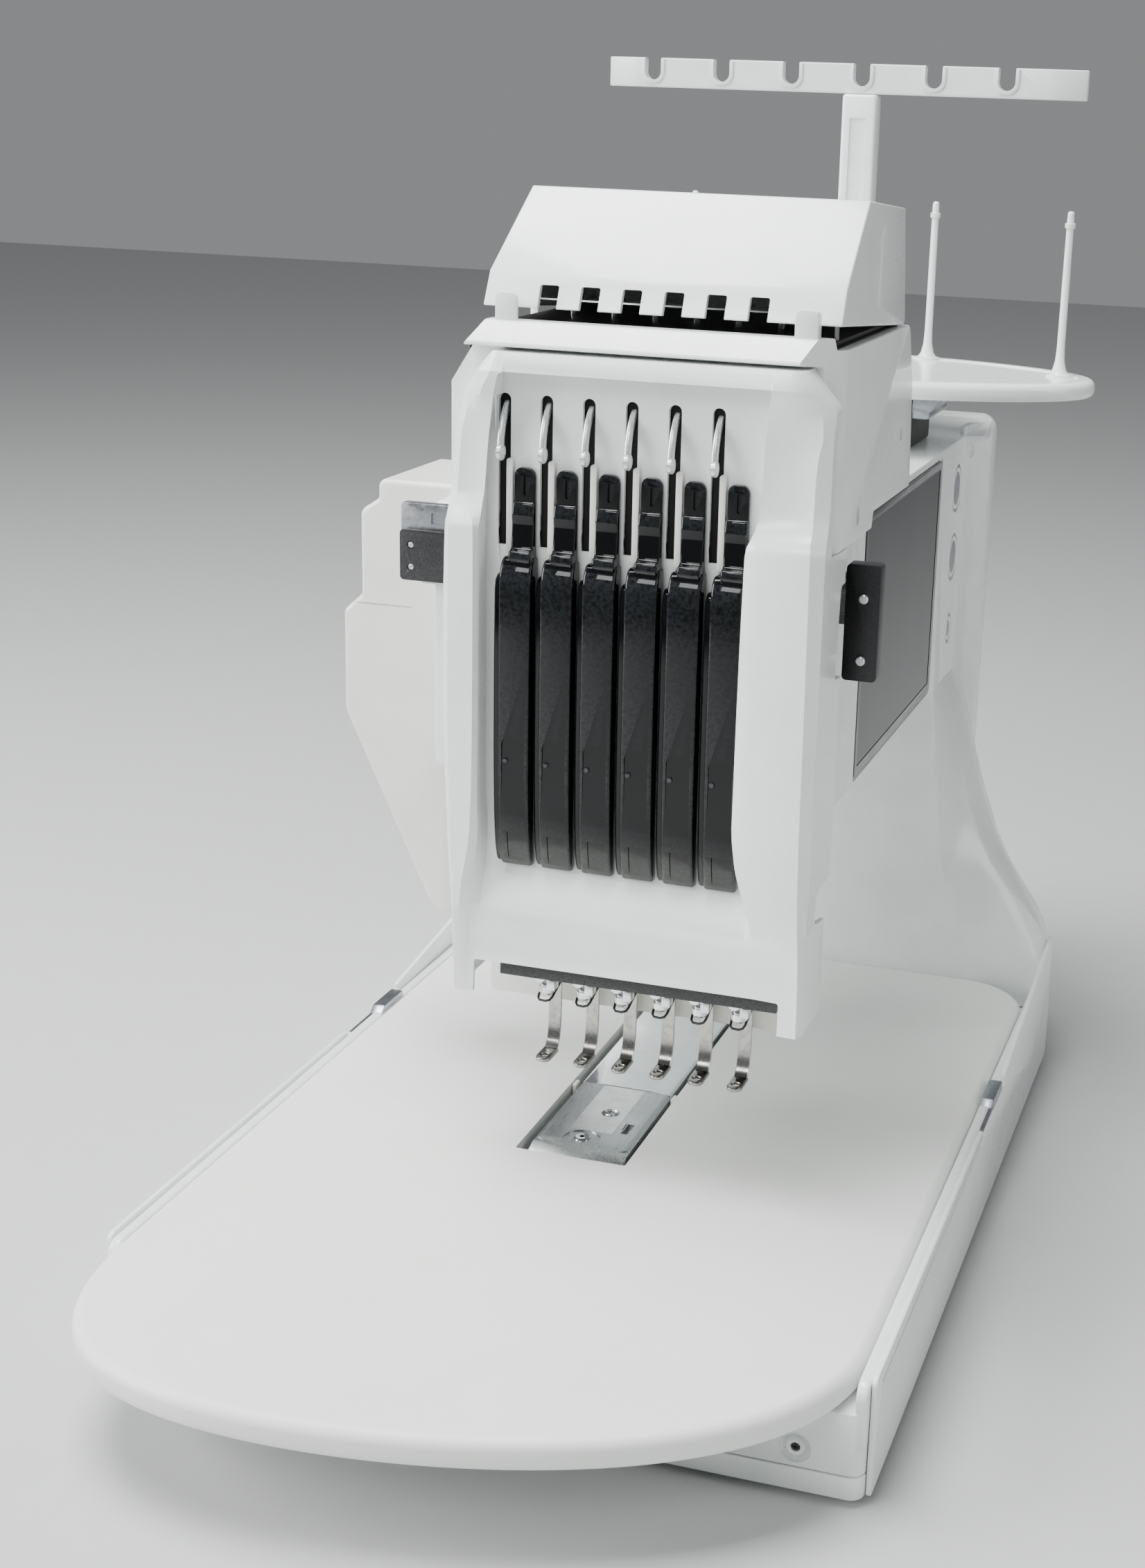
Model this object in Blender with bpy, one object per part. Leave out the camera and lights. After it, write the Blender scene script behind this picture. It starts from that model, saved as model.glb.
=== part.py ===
"""Six-needle embroidery machine: base and table, column and arm, needle case, thread stand.

Lengths are in metres. The parts are laid out about the needle line: X to the machine's left
as it faces the user (the user's right), Y from the needles towards the column, Z up from the
surface it stands on. The empty "needle_line" carries every part to the middle of the footprint.
"""

import math

import bmesh
import bpy
from mathutils import Vector
from mathutils.geometry import interpolate_bezier

# ---------------------------------------------------------------- driving dimensions
GAP = 0.0003  # between pieces that touch

STATIONS = 6
PITCH = 0.024  # from needle to needle
FIRST_NEEDLE_X = -0.037

HALF_WIDTH = 0.217
PANEL_THICK = 0.003
SHELL_HALF = HALF_WIDTH - PANEL_THICK - GAP  # half width of the base behind its side panels
TABLE_HALF = 0.207
TABLE_FRONT_Y = -0.338
TABLE_TOP_Z = 0.072
TABLE_THICK = 0.018
SLOT_X = (-0.0455, 0.024)  # slot in the table around the free arm
SLOT_FRONT_Y = -0.028

BASE_FRONT_Y = -0.212
BASE_REAR_Y = 0.450
BASE_BOTTOM_Z = 0.004
SEAM_Z = 0.018  # where the base shell stands on the base tray
DECK_Z = TABLE_TOP_Z - TABLE_THICK - GAP
RAIL_TOP_Z = 0.070

COLUMN_Y = 0.345  # front wall of the column
REAR_Y = 0.470
SHELL_REAR_Y = 0.445
ARM_FRONT_Y = 0.030
ARM_HALF = 0.122
ARM_BOTTOM_Z = 0.284
ARM_TOP_Z = 0.455
WALL = 0.004

CASE_LEFT_X = -0.080
CASE_RIGHT_X = 0.134
COVER_FRONT_Y = -0.062
RECESS_Y = -0.044  # face behind the thread covers
HEAD_FRONT_Y = -0.040
HEAD_BOTTOM_Z = 0.4495

NEEDLE_Y = -(TABLE_FRONT_Y + REAR_Y) / 2  # needle line, from the middle of the footprint

# ---------------------------------------------------------------- finishes
FINISHES = {  # base colour, roughness, metallic
    "white_shell": ((0.80, 0.82, 0.82), 0.32, 0.0),
    "table_white": ((0.82, 0.82, 0.80), 0.55, 0.0),
    "warm_white": ((0.78, 0.78, 0.74), 0.38, 0.0),
    "frosted": ((0.80, 0.82, 0.80), 0.45, 0.0),
    "smoked": ((0.02, 0.022, 0.025), 0.08, 0.0),
    "screen": ((0.03, 0.035, 0.04), 0.06, 0.0),
    "black_paint": ((0.015, 0.015, 0.016), 0.40, 0.0),
    "chrome": ((0.80, 0.80, 0.80), 0.08, 1.0),
    "satin_steel": ((0.60, 0.60, 0.60), 0.28, 1.0),
    "cast_grey": ((0.50, 0.51, 0.52), 0.45, 0.3),
    "dark_plastic": ((0.03, 0.03, 0.03), 0.45, 0.0),
    "circuit_board": ((0.03, 0.16, 0.07), 0.40, 0.0),
}

EXTRUDE_AXES = {"X": (1, 2, 0), "Y": (0, 2, 1), "Z": (0, 1, 2)}


def clear_scene():
    for obj in list(bpy.data.objects):
        bpy.data.objects.remove(obj, do_unlink=True)


def make_material(name, finish):
    """A Principled material of the named finish, for one node."""
    color, roughness, metallic = FINISHES[finish]
    material = bpy.data.materials.new(name)
    material.use_nodes = True
    shader = material.node_tree.nodes["Principled BSDF"]
    shader.inputs["Base Color"].default_value = (*color, 1.0)
    shader.inputs["Roughness"].default_value = roughness
    shader.inputs["Metallic"].default_value = metallic
    return material


def add_object(name, bm, finish=None, pivot=(0, 0, 0), smooth_angle=35):
    """Links bm as an object whose origin is at pivot, under the needle line's empty."""
    bmesh.ops.recalc_face_normals(bm, faces=bm.faces[:])
    bmesh.ops.translate(bm, verts=bm.verts[:], vec=-Vector(pivot))
    mesh = bpy.data.meshes.new(name)
    bm.to_mesh(mesh)
    bm.free()
    mesh.shade_smooth()
    mesh.set_sharp_from_angle(angle=math.radians(smooth_angle))
    obj = bpy.data.objects.new(name, mesh)
    bpy.context.scene.collection.objects.link(obj)
    obj.parent = bpy.data.objects["needle_line"]
    obj.location = pivot
    if finish:
        mesh.materials.append(make_material(name, finish))
    return obj


def boolean(target, bm, operation):
    """Cuts bm from target, or unites it with target."""
    helper = add_object(f"{target.name}_{operation.lower()}", bm)
    helper.hide_render = True
    helper.display_type = "WIRE"
    modifier = target.modifiers.new(helper.name, "BOOLEAN")
    modifier.operation = operation
    modifier.object = helper


def cut(target, *shapes):
    for bm in shapes:
        boolean(target, bm, "DIFFERENCE")


def unite(target, *shapes):
    for bm in shapes:
        boolean(target, bm, "UNION")


def soften(obj, width, segments=2, angle=50):
    """Rounds the edges that are sharper than angle."""
    bevel = obj.modifiers.new("rounded edges", "BEVEL")
    bevel.width = width
    bevel.segments = segments
    bevel.limit_method = "ANGLE"
    bevel.angle_limit = math.radians(angle)


# ---------------------------------------------------------------- shapes
def loft(sections):
    """A closed solid through sections, which are rings of as many 3-D points each."""
    bm = bmesh.new()
    rings = [[bm.verts.new(point) for point in section] for section in sections]
    count = len(rings[0])
    bm.faces.new(rings[0])
    bm.faces.new(rings[-1])
    for near, far in zip(rings, rings[1:]):
        for i in range(count):
            j = (i + 1) % count
            bm.faces.new((near[i], near[j], far[j], far[i]))
    return bm


def prism(outline, axis, start, end):
    """The outline, given in the other two axes in X, Y, Z order, pushed from start to end."""
    first, second, along = EXTRUDE_AXES[axis]

    def ring(level):
        for u, v in outline:
            point = [0.0, 0.0, 0.0]
            point[first], point[second], point[along] = u, v, level
            yield point

    return loft([list(ring(start)), list(ring(end))])


def box(low, high):
    corners = [(low[0], low[1]), (high[0], low[1]), (high[0], high[1]), (low[0], high[1])]
    return prism(corners, "Z", low[2], high[2])


def rounded(outline, radii, steps=5):
    """The outline with each corner turned into an arc; radii is one number or one per corner."""
    count = len(outline)
    if not isinstance(radii, (list, tuple)):
        radii = [radii] * count
    points = []
    for i, radius in enumerate(radii):
        corner = Vector(outline[i])
        if radius == 0:
            points.append(tuple(corner))
            continue
        back = (Vector(outline[i - 1]) - corner).normalized()
        ahead = (Vector(outline[(i + 1) % count]) - corner).normalized()
        half = back.angle(ahead) / 2
        centre = corner + (back + ahead).normalized() * radius / math.sin(half)
        start = corner + back * radius / math.tan(half) - centre
        sweep = start.angle_signed(corner + ahead * radius / math.tan(half) - centre)
        for k in range(steps + 1):
            turn = -sweep * k / steps
            points.append((
                centre.x + start.x * math.cos(turn) - start.y * math.sin(turn),
                centre.y + start.x * math.sin(turn) + start.y * math.cos(turn),
            ))
    return points


def rectangle(low, high, radius=0.0, steps=4):
    corners = [(low[0], low[1]), (high[0], low[1]), (high[0], high[1]), (low[0], high[1])]
    return rounded(corners, radius, steps) if radius else corners


def ellipse(centre, half_width, half_depth, steps=48):
    turns = [2 * math.pi * k / steps for k in range(steps)]
    return [(centre[0] + half_width * math.cos(t), centre[1] + half_depth * math.sin(t))
            for t in turns]


def turned(profile, centre, axis="Z", steps=16):
    """The (radius, height) profile turned about the axis through centre; its ends are on it."""
    first, second, along = EXTRUDE_AXES[axis]
    bm = bmesh.new()

    def vertex(radius, height, turn):
        point = list(centre)
        point[first] += radius * math.cos(turn)
        point[second] += radius * math.sin(turn)
        point[along] += height
        return bm.verts.new(point)

    turns = [2 * math.pi * k / steps for k in range(steps)]
    rings = [[vertex(radius, height, t) for t in turns] for radius, height in profile[1:-1]]
    ends = (vertex(*profile[0], 0), vertex(*profile[-1], 0))
    for k in range(steps):
        j = (k + 1) % steps
        bm.faces.new((ends[0], rings[0][k], rings[0][j]))
        bm.faces.new((ends[1], rings[-1][j], rings[-1][k]))
        for near, far in zip(rings, rings[1:]):
            bm.faces.new((near[k], far[k], far[j], near[j]))
    return bm


def cylinder(centre, radius, low, high, axis="Z", steps=16):
    return turned([(0, low), (radius, low), (radius, high), (0, high)], centre, axis, steps)


def ribbon(path, width):
    """Outline of a band of this width whose middle follows the 2-D path."""
    sides = ([], [])
    for i, point in enumerate(path):
        here = Vector(point)
        ahead = Vector(path[min(i + 1, len(path) - 1)]) - Vector(path[max(i - 1, 0)])
        across = Vector((-ahead.y, ahead.x)).normalized() * width / 2
        sides[0].append(tuple(here + across))
        sides[1].append(tuple(here - across))
    return sides[0] + sides[1][::-1]


def mirrored(half):
    """A ring of (x, z) points from its right half, listed from the bottom up."""
    return half + [(-x, z) for x, z in reversed(half)]


def station_x(station):
    return FIRST_NEEDLE_X + PITCH * station


# ---------------------------------------------------------------- base and table
FOOT_PLACES = [(x, y) for x in (-0.175, 0.175) for y in (-0.170, 0.370)]
FOOT_RADIUS = 0.018


def base_outline(inset=0.0):
    corners = [
        (-SHELL_HALF + inset, BASE_FRONT_Y + inset),
        (SHELL_HALF - inset, BASE_FRONT_Y + inset),
        (SHELL_HALF - inset, BASE_REAR_Y - inset),
        (-SHELL_HALF + inset, BASE_REAR_Y - inset),
    ]
    return rounded(corners, [0.008, 0.008, 0.062, 0.062])


def base_tray():
    floor_z = BASE_BOTTOM_Z + 0.003
    tray = add_object(
        "base_tray", prism(base_outline(), "Z", BASE_BOTTOM_Z, SEAM_Z - GAP), "white_shell")
    cut(tray, prism(base_outline(WALL), "Z", floor_z, SEAM_Z + 0.01))
    unite(tray, *[cylinder((x, y, 0), FOOT_RADIUS, 0, floor_z - 0.001) for x, y in FOOT_PLACES])


def base_shell():
    shell = add_object("base_shell", prism(base_outline(), "Z", SEAM_Z, DECK_Z), "white_shell")
    cut(shell, prism(base_outline(WALL), "Z", SEAM_Z - 0.01, DECK_Z - WALL))
    cut(shell, box((SLOT_X[0], SLOT_FRONT_Y, 0), (SLOT_X[1], COLUMN_Y, RAIL_TOP_Z)))
    for side in (-1, 1):
        edges = sorted((side * (TABLE_HALF + GAP), side * SHELL_HALF))
        rail = rectangle((BASE_FRONT_Y + 0.010, DECK_Z - 0.002), (COLUMN_Y - 0.001, RAIL_TOP_Z))
        unite(shell, prism(rounded(rail, [0, 0, 0, 0.006]), "X", *edges))
    boss = (0.178, BASE_FRONT_Y, 0.029)
    cut(shell, cylinder(boss, 0.0085, -0.01, 0.0025, "Y"))


def side_panel(name, side):
    """Thin outer panel; its upper edge dips for the frame bracket and climbs to the column."""
    top_z = TABLE_TOP_Z
    outline = [
        (BASE_FRONT_Y + 0.007, BASE_BOTTOM_Z), (0.383, BASE_BOTTOM_Z), (0.383, 0.100),
        (0.363, 0.100), (0.176, 0.075), (0.176, RAIL_TOP_Z - 0.002),
        (0.095, RAIL_TOP_Z - 0.002), (0.095, top_z), (BASE_FRONT_Y + 0.007, top_z),
    ]
    edges = sorted((side * (HALF_WIDTH - PANEL_THICK), side * HALF_WIDTH))
    add_object(name, prism(outline, "X", *edges), "white_shell")


def table_outline():
    """Straight sides, and a front edge that sweeps round fuller on one side than the other."""
    left_start, right_end = (-TABLE_HALF, -0.205), (TABLE_HALF, -0.170)
    tip = (-0.063, TABLE_FRONT_Y)
    rear_y = COLUMN_Y - GAP
    left = interpolate_bezier(left_start, (-TABLE_HALF, -0.290), (-0.170, TABLE_FRONT_Y), tip, 12)
    right = interpolate_bezier(tip, (0.040, TABLE_FRONT_Y), (TABLE_HALF, -0.290), right_end, 16)
    rear = rounded(
        [(TABLE_HALF, 0), (TABLE_HALF, rear_y), (-TABLE_HALF, rear_y), (-TABLE_HALF, 0)],
        [0, 0.045, 0.045, 0])
    return [tuple(p[:2]) for p in left[:-1] + right] + rear


def table_top():
    bottom_z = DECK_Z + GAP
    table = add_object("table_top", prism(table_outline(), "Z", bottom_z, TABLE_TOP_Z), "table_white")
    soften(table, 0.005)
    cut(table, box((SLOT_X[0], SLOT_FRONT_Y, 0), (SLOT_X[1], COLUMN_Y + 0.01, 0.1)))


def power_supply():
    add_object("power_supply", box((-0.180, 0.140, 0.0075), (-0.080, 0.330, 0.045)), "satin_steel")


def control_board():
    board = add_object("control_board", box((0.050, -0.060, 0.012), (0.190, 0.150, 0.014)),
                       "circuit_board")
    unite(board, box((0.080, 0.000, 0.013), (0.120, 0.040, 0.026)),
          box((0.140, 0.060, 0.013), (0.180, 0.130, 0.030)))


# ---------------------------------------------------------------- free arm and hook
ARM_X = (-0.0404, 0.0200)  # width of the needle plate
ARM_BODY_TOP_Z = 0.066
PLATE_Y = (-0.020, 0.075)
HOOK_CENTRE = (FIRST_NEEDLE_X + PITCH, 0.0, 0.045)
HOOK_RADIUS = 0.0135


def free_arm():
    low_z = 0.026
    inset = 0.0024
    body = add_object(
        "free_arm_body",
        box((ARM_X[0] + inset, PLATE_Y[0] + inset, low_z),
            (ARM_X[1] - inset, COLUMN_Y - GAP, ARM_BODY_TOP_Z)),
        "cast_grey")
    wall = 0.003
    cut(body, box((ARM_X[0] + inset + wall, PLATE_Y[0] + inset + wall, low_z + wall),
                  (ARM_X[1] - inset - wall, COLUMN_Y - 0.006, 0.1)))


def needle_plate():
    low_z, top_z, lip = ARM_BODY_TOP_Z + GAP, TABLE_TOP_Z, 0.010
    side = [
        (PLATE_Y[0], low_z), (PLATE_Y[1], low_z), (PLATE_Y[1], top_z),
        (PLATE_Y[0] + lip, top_z), (PLATE_Y[0], top_z - 0.003),
    ]
    plate = add_object("needle_plate", prism(side, "X", *ARM_X), "satin_steel")
    needle_hole = (HOOK_CENTRE[0], HOOK_CENTRE[1], 0)
    cut(plate, cylinder(needle_hole, 0.0018, 0, 0.1), box((0.008, 0.014, 0.069), (0.012, 0.024, 0.1)))


def arm_cover():
    """Bright cover over the shaft, slightly crowned across its width."""
    low_z, edge_z, crown_z = ARM_BODY_TOP_Z + GAP, 0.0712, 0.0722
    across = [(ARM_X[0], low_z), (ARM_X[1], low_z), (ARM_X[1], edge_z), (0.012, crown_z),
              (-0.032, crown_z), (ARM_X[0], edge_z)]
    add_object("arm_cover", prism(across, "Y", PLATE_Y[1] + 0.0005, COLUMN_Y - 0.001), "chrome")


def rotary_hook():
    """Hook cup open to the front, on its shaft along the free arm."""
    rim, cup_depth = HOOK_RADIUS, 0.012
    shaft_radius, shaft_end = 0.004, 0.330
    profile = [
        (0, cup_depth - 0.003), (rim - 0.002, cup_depth - 0.003), (rim - 0.002, 0.0), (rim, 0.0),
        (rim, cup_depth), (shaft_radius, cup_depth + 0.004), (shaft_radius, shaft_end),
        (0, shaft_end),
    ]
    add_object("rotary_hook", turned(profile, HOOK_CENTRE, "Y"), "satin_steel", HOOK_CENTRE)


def bobbin_case():
    radius = HOOK_RADIUS - 0.003
    add_object("bobbin_case", cylinder(HOOK_CENTRE, radius, -0.002, 0.008, "Y"), "satin_steel")


# ---------------------------------------------------------------- column and arm
SCREEN_Y = (0.098, 0.328)
SCREEN_Z = (0.288, 0.449)
BUTTONS = {"button_top": (0.420, 0.0150), "button_middle": (0.371, 0.0150),
           "button_bottom": (0.319, 0.0090)}  # height and radius
BUTTON_Y = 0.391
POST_X, POST_Y = (0.020, 0.044), (0.411, 0.429)

COLUMN_HALVES = {  # right half of the column's outline at some distances back
    0.3450: [(0.2137, 0.054), (0.2137, 0.090), (0.176, 0.088), (0.150, 0.100), (0.139, 0.130),
             (0.131, 0.190), (0.122, 0.284)],
    0.3700: [(0.2137, 0.054), (0.2137, 0.102), (0.190, 0.126), (0.165, 0.160), (0.152, 0.194),
             (0.138, 0.236), (0.122, 0.284)],
    0.4050: [(0.2060, 0.054), (0.2060, 0.104), (0.188, 0.130), (0.168, 0.160), (0.156, 0.194),
             (0.140, 0.236), (0.122, 0.284)],
    0.4300: [(0.1880, 0.054), (0.1880, 0.110), (0.176, 0.134), (0.162, 0.160), (0.152, 0.194),
             (0.139, 0.236), (0.122, 0.284)],
    0.4450: [(0.1640, 0.054), (0.1640, 0.112), (0.158, 0.136), (0.152, 0.160), (0.146, 0.194),
             (0.136, 0.236), (0.122, 0.284)],
}


def column_shell():
    """Flares from the arm's width to the base's; open at the back."""
    rings = [[(x, y, z) for x, z in mirrored(half)] for y, half in COLUMN_HALVES.items()]
    shell = add_object("column_shell", loft(rings), "white_shell")
    inside = mirrored([(0.150, 0.058), (0.150, 0.100), (0.134, 0.130), (0.126, 0.190), (0.117, 0.280)])
    cut(shell, prism(inside, "Y", COLUMN_Y + WALL, SHELL_REAR_Y + 0.01))


def arm_shell():
    """Upper arm from the needle case to the back, open at the back."""
    side = rounded(
        [(ARM_FRONT_Y, ARM_BOTTOM_Z + GAP), (SHELL_REAR_Y, ARM_BOTTOM_Z + GAP),
         (SHELL_REAR_Y, ARM_TOP_Z), (0.066, ARM_TOP_Z), (0.058, 0.448), (ARM_FRONT_Y, 0.448)],
        [0.006, 0, 0, 0, 0, 0.006])
    shell = add_object("arm_shell", prism(side, "X", -ARM_HALF, ARM_HALF), "white_shell")
    soften(shell, 0.003, angle=60)
    wall = 0.005
    cut(shell,
        box((-ARM_HALF + wall, ARM_FRONT_Y + wall, ARM_BOTTOM_Z + wall),
            (ARM_HALF - wall, SHELL_REAR_Y + 0.01, 0.448 - wall)),
        box((ARM_HALF - 0.0025, SCREEN_Y[0], SCREEN_Z[0]),
            (ARM_HALF + 0.01, SCREEN_Y[1], SCREEN_Z[1])),
        box((POST_X[0] - 0.001, POST_Y[0] - 0.001, 0.43), (POST_X[1] + 0.001, POST_Y[1] + 0.001, 0.47)))
    for height, radius in BUTTONS.values():
        cut(shell, cylinder((ARM_HALF, BUTTON_Y, height), radius + 0.0005, -0.01, 0.01, "X", 24))


def screen():
    low = (ARM_HALF - 0.0022, SCREEN_Y[0] + GAP, SCREEN_Z[0] + GAP)
    high = (ARM_HALF + 0.0003, SCREEN_Y[1] - GAP, SCREEN_Z[1] - GAP)
    add_object("screen_glass", box(low, high), "screen")


def button(name, height, radius):
    """Dished push button that travels into the arm's side wall."""
    profile = [
        (0, -0.008), (radius, -0.008), (radius, -0.0005), (radius - 0.001, 0.0),
        (radius - 0.0025, 0.0), (radius * 0.5, -0.0015), (0, -0.002),
    ]
    centre = (ARM_HALF, BUTTON_Y, height)
    add_object(name, turned(profile, centre, "X", 24), "white_shell", centre)


INLET_X, INLET_Z = (-0.100, -0.070), (0.072, 0.096)


def rear_cover():
    half, low_z, top_z = 0.135, 0.058, 0.464
    outline = rounded([(-half, low_z), (half, low_z), (half, top_z), (-half, top_z)], 0.012)
    front_y = SHELL_REAR_Y + GAP
    cover = add_object("rear_cover", prism(outline, "Y", front_y, REAR_Y), "white_shell")
    inner = rectangle((-half + WALL, low_z + WALL), (half - WALL, top_z - WALL), 0.008)
    cut(cover, prism(inner, "Y", front_y - 0.01, REAR_Y - WALL))
    (low_x, high_x), (inlet_low, inlet_high) = INLET_X, INLET_Z
    cut(cover, box((low_x - GAP, 0.4, inlet_low - GAP), (high_x + GAP, 0.5, inlet_high + GAP)))


def power_inlet():
    (low_x, high_x), (low_z, high_z) = INLET_X, INLET_Z
    inlet = add_object("power_inlet", box((low_x, 0.450, low_z), (high_x, REAR_Y, high_z)),
                       "dark_plastic")
    wall = 0.004
    cut(inlet, box((low_x + wall, 0.456, low_z + wall), (high_x - wall, 0.5, high_z - wall)))


def drive_casing():
    """Casing on the far side of the arm, over the needle case's drive."""
    outline = rounded([
        (-0.1223, 0.180), (-0.132, 0.180), (-0.140, 0.187), (-0.196, 0.306), (-0.196, 0.370),
        (-0.184, 0.381), (-0.184, 0.433), (-0.172, 0.441), (-0.172, 0.453), (-0.1223, 0.453),
    ], [0, 0.003, 0.004, 0.008, 0.006, 0.005, 0.006, 0.004, 0.006, 0])
    casing = add_object("drive_casing", prism(outline, "Y", 0.060, 0.150), "warm_white")
    soften(casing, 0.003)
    hollow = [(-0.110, 0.200), (-0.138, 0.200), (-0.188, 0.308), (-0.188, 0.366),
              (-0.177, 0.378), (-0.166, 0.446), (-0.110, 0.446)]
    cut(casing, prism(hollow, "Y", 0.066, 0.144))


def main_motor():
    add_object("main_motor", turned(
        [(0, 0.250), (0.033, 0.250), (0.035, 0.254), (0.035, 0.322), (0.012, 0.326),
         (0.006, 0.328), (0.006, 0.352), (0, 0.352)], (0, 0, 0.340), "Y"), "dark_plastic")


SHAFT_CENTRE = (0.0, 0.060, 0.405)


def main_shaft():
    """Shaft along the arm with the needle bars' crank in front and its pulley behind."""
    shaft, crank, pulley = 0.006, 0.020, 0.018
    profile = [
        (0, 0.0), (crank, 0.0), (crank, 0.010), (shaft, 0.012), (shaft, 0.270), (pulley, 0.272),
        (pulley, 0.286), (shaft, 0.288), (shaft, 0.340), (0, 0.340),
    ]
    add_object("main_shaft", turned(profile, SHAFT_CENTRE, "Y"), "satin_steel", SHAFT_CENTRE)


# ---------------------------------------------------------------- rail behind the needle case
def case_rail():
    rail = add_object("case_rail", box((-0.128, 0.0245, 0.400), (0.140, ARM_FRONT_Y - GAP, 0.430)),
                      "satin_steel")
    unite(rail, box((-0.120, 0.0150, 0.408), (0.130, 0.0255, 0.422)))


def end_plates():
    left = rectangle((-0.136, 0.404), (-0.0805, 0.434), 0.003, 2)
    add_object("end_plate_left", prism(left, "Y", 0.0110, 0.0140), "black_paint")
    right = rectangle((0.1303, 0.371), (0.150, 0.437), 0.003, 2)
    add_object("end_plate_right", prism(right, "Y", 0.0130, 0.0242), "black_paint")


# ---------------------------------------------------------------- spools and thread stand
SPOOL_CENTRE = (0.0, 0.354)
SPOOL_Z = (0.494, 0.506)
PIN_PLACES = [(x, y) for x in (-1, 1) for y in (0.300, 0.369, 0.424)]
PIN_X = {0.300: 0.070, 0.369: 0.190, 0.424: 0.088}
PIN_TOP_Z = 0.614


def spool_plate():
    """Oval plate with a fixed pin for each spool, and a hole for the thread stand's post."""
    plate = add_object("spool_plate", prism(ellipse(SPOOL_CENTRE, 0.2165, 0.090), "Z", *SPOOL_Z),
                       "white_shell")
    soften(plate, 0.003)
    cut(plate, box((POST_X[0] - 0.001, POST_Y[0] - 0.001, 0.4), (POST_X[1] + 0.001, POST_Y[1] + 0.001, 0.6)))
    low = SPOOL_Z[1] - 0.003
    profile = [(0, low), (0.006, low), (0.006, low + 0.005), (0.0026, low + 0.014),
               (0.0022, PIN_TOP_Z - 0.002), (0.0012, PIN_TOP_Z), (0, PIN_TOP_Z)]
    unite(plate, *[turned(profile, (side * PIN_X[y], y, 0), "Z", 10) for side, y in PIN_PLACES])


def spool_mount():
    outline = rectangle((-0.070, 0.310), (0.100, 0.395), 0.010)
    add_object("spool_mount", prism(outline, "Z", ARM_TOP_Z + GAP, SPOOL_Z[0] - GAP), "dark_plastic")


BAR_X, BAR_Y, BAR_Z = (-0.155, 0.187), 0.420, (0.684, 0.704)
BAR_THICK = 0.006
NOTCH_FIRST_X, NOTCH_PITCH, NOTCH_WIDTH, NOTCH_DEPTH = -0.120, 0.0506, 0.012, 0.015


def thread_post():
    low, high = (POST_X[0], POST_Y[0], 0.425), (POST_X[1], POST_Y[1], BAR_Z[0] - GAP)
    add_object("thread_post", box(low, high), "white_shell")


def thread_bar():
    """Guide bar over the spools, its ends bent back, with a thread notch for each spool."""
    back = 0.008
    path = [(BAR_X[0], BAR_Y + back), (BAR_X[0] + 0.020, BAR_Y), (BAR_X[1] - 0.020, BAR_Y),
            (BAR_X[1], BAR_Y + back)]
    bar = add_object("thread_bar", prism(ribbon(path, BAR_THICK), "Z", *BAR_Z), "frosted")
    for i in range(STATIONS):
        middle = NOTCH_FIRST_X + NOTCH_PITCH * i
        low_z, top_z, half = BAR_Z[1] - NOTCH_DEPTH, BAR_Z[1] + 0.01, NOTCH_WIDTH / 2
        notch = rounded([(middle - half, low_z), (middle + half, low_z), (middle + half, top_z),
                         (middle - half, top_z)], [0.0055, 0.0055, 0, 0])
        cut(bar, prism(notch, "Y", BAR_Y - 0.02, BAR_Y + 0.02))


# ---------------------------------------------------------------- needle case
LEVER_SLOT = (-0.0525, -0.0455)  # first slot; the others follow at the needle pitch


def front_cover():
    """Face of the needle case: two pillars round a recessed panel with the levers' slots."""
    outline = [
        (-0.073, 0.184), (-0.060, 0.184), (-0.060, 0.203), (0.1215, 0.203), (0.1215, 0.184),
        (CASE_RIGHT_X, 0.184), (CASE_RIGHT_X, 0.532), (0.120, 0.548), (-0.051, 0.548),
        (-0.0655, 0.532), (-0.0755, 0.505), (CASE_LEFT_X, 0.440), (CASE_LEFT_X, 0.359),
        (-0.077, 0.264),
    ]
    rear_y = -0.005
    cover = add_object("front_cover", prism(outline, "Y", COVER_FRONT_Y, rear_y), "white_shell")
    window = [
        (-0.0530, 0.254), (0.0973, 0.254), (0.0920, 0.275), (0.0920, 0.439),
        (0.0986, 0.463), (0.103, 0.5376), (-0.043, 0.5376), (-0.0595, 0.490), (-0.0595, 0.285),
    ]
    panel_back = RECESS_Y + 0.003
    high_y = rear_y + 0.01
    cut(cover, prism(window, "Y", COVER_FRONT_Y - 0.01, RECESS_Y))
    cut(cover, box((-0.0597, panel_back, 0.17), (0.1212, high_y, 0.2101)),
        box((-0.075, panel_back, 0.210), (0.130, high_y, 0.544)),
        box((-0.09, HEAD_FRONT_Y - GAP, HEAD_BOTTOM_Z - GAP), (0.15, high_y, 0.56)))
    pillar_back, pillar_front = panel_back + 0.001, COVER_FRONT_Y + WALL
    cut(cover, box((-0.073, pillar_front, 0.212), (-0.063, pillar_back, 0.440)),
        box((0.101, pillar_front, 0.212), (0.130, pillar_back, 0.480)))
    for i in range(STATIONS):
        low_x, high_x = LEVER_SLOT[0] + PITCH * i, LEVER_SLOT[1] + PITCH * i
        slot = rounded([(low_x, 0.440), (high_x, 0.440), (high_x, 0.524), (low_x, 0.524)],
                       [0, 0, 0.003, 0.003], 3)
        cut(cover, prism(slot, "Y", RECESS_Y - 0.001, panel_back + 0.001))


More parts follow.
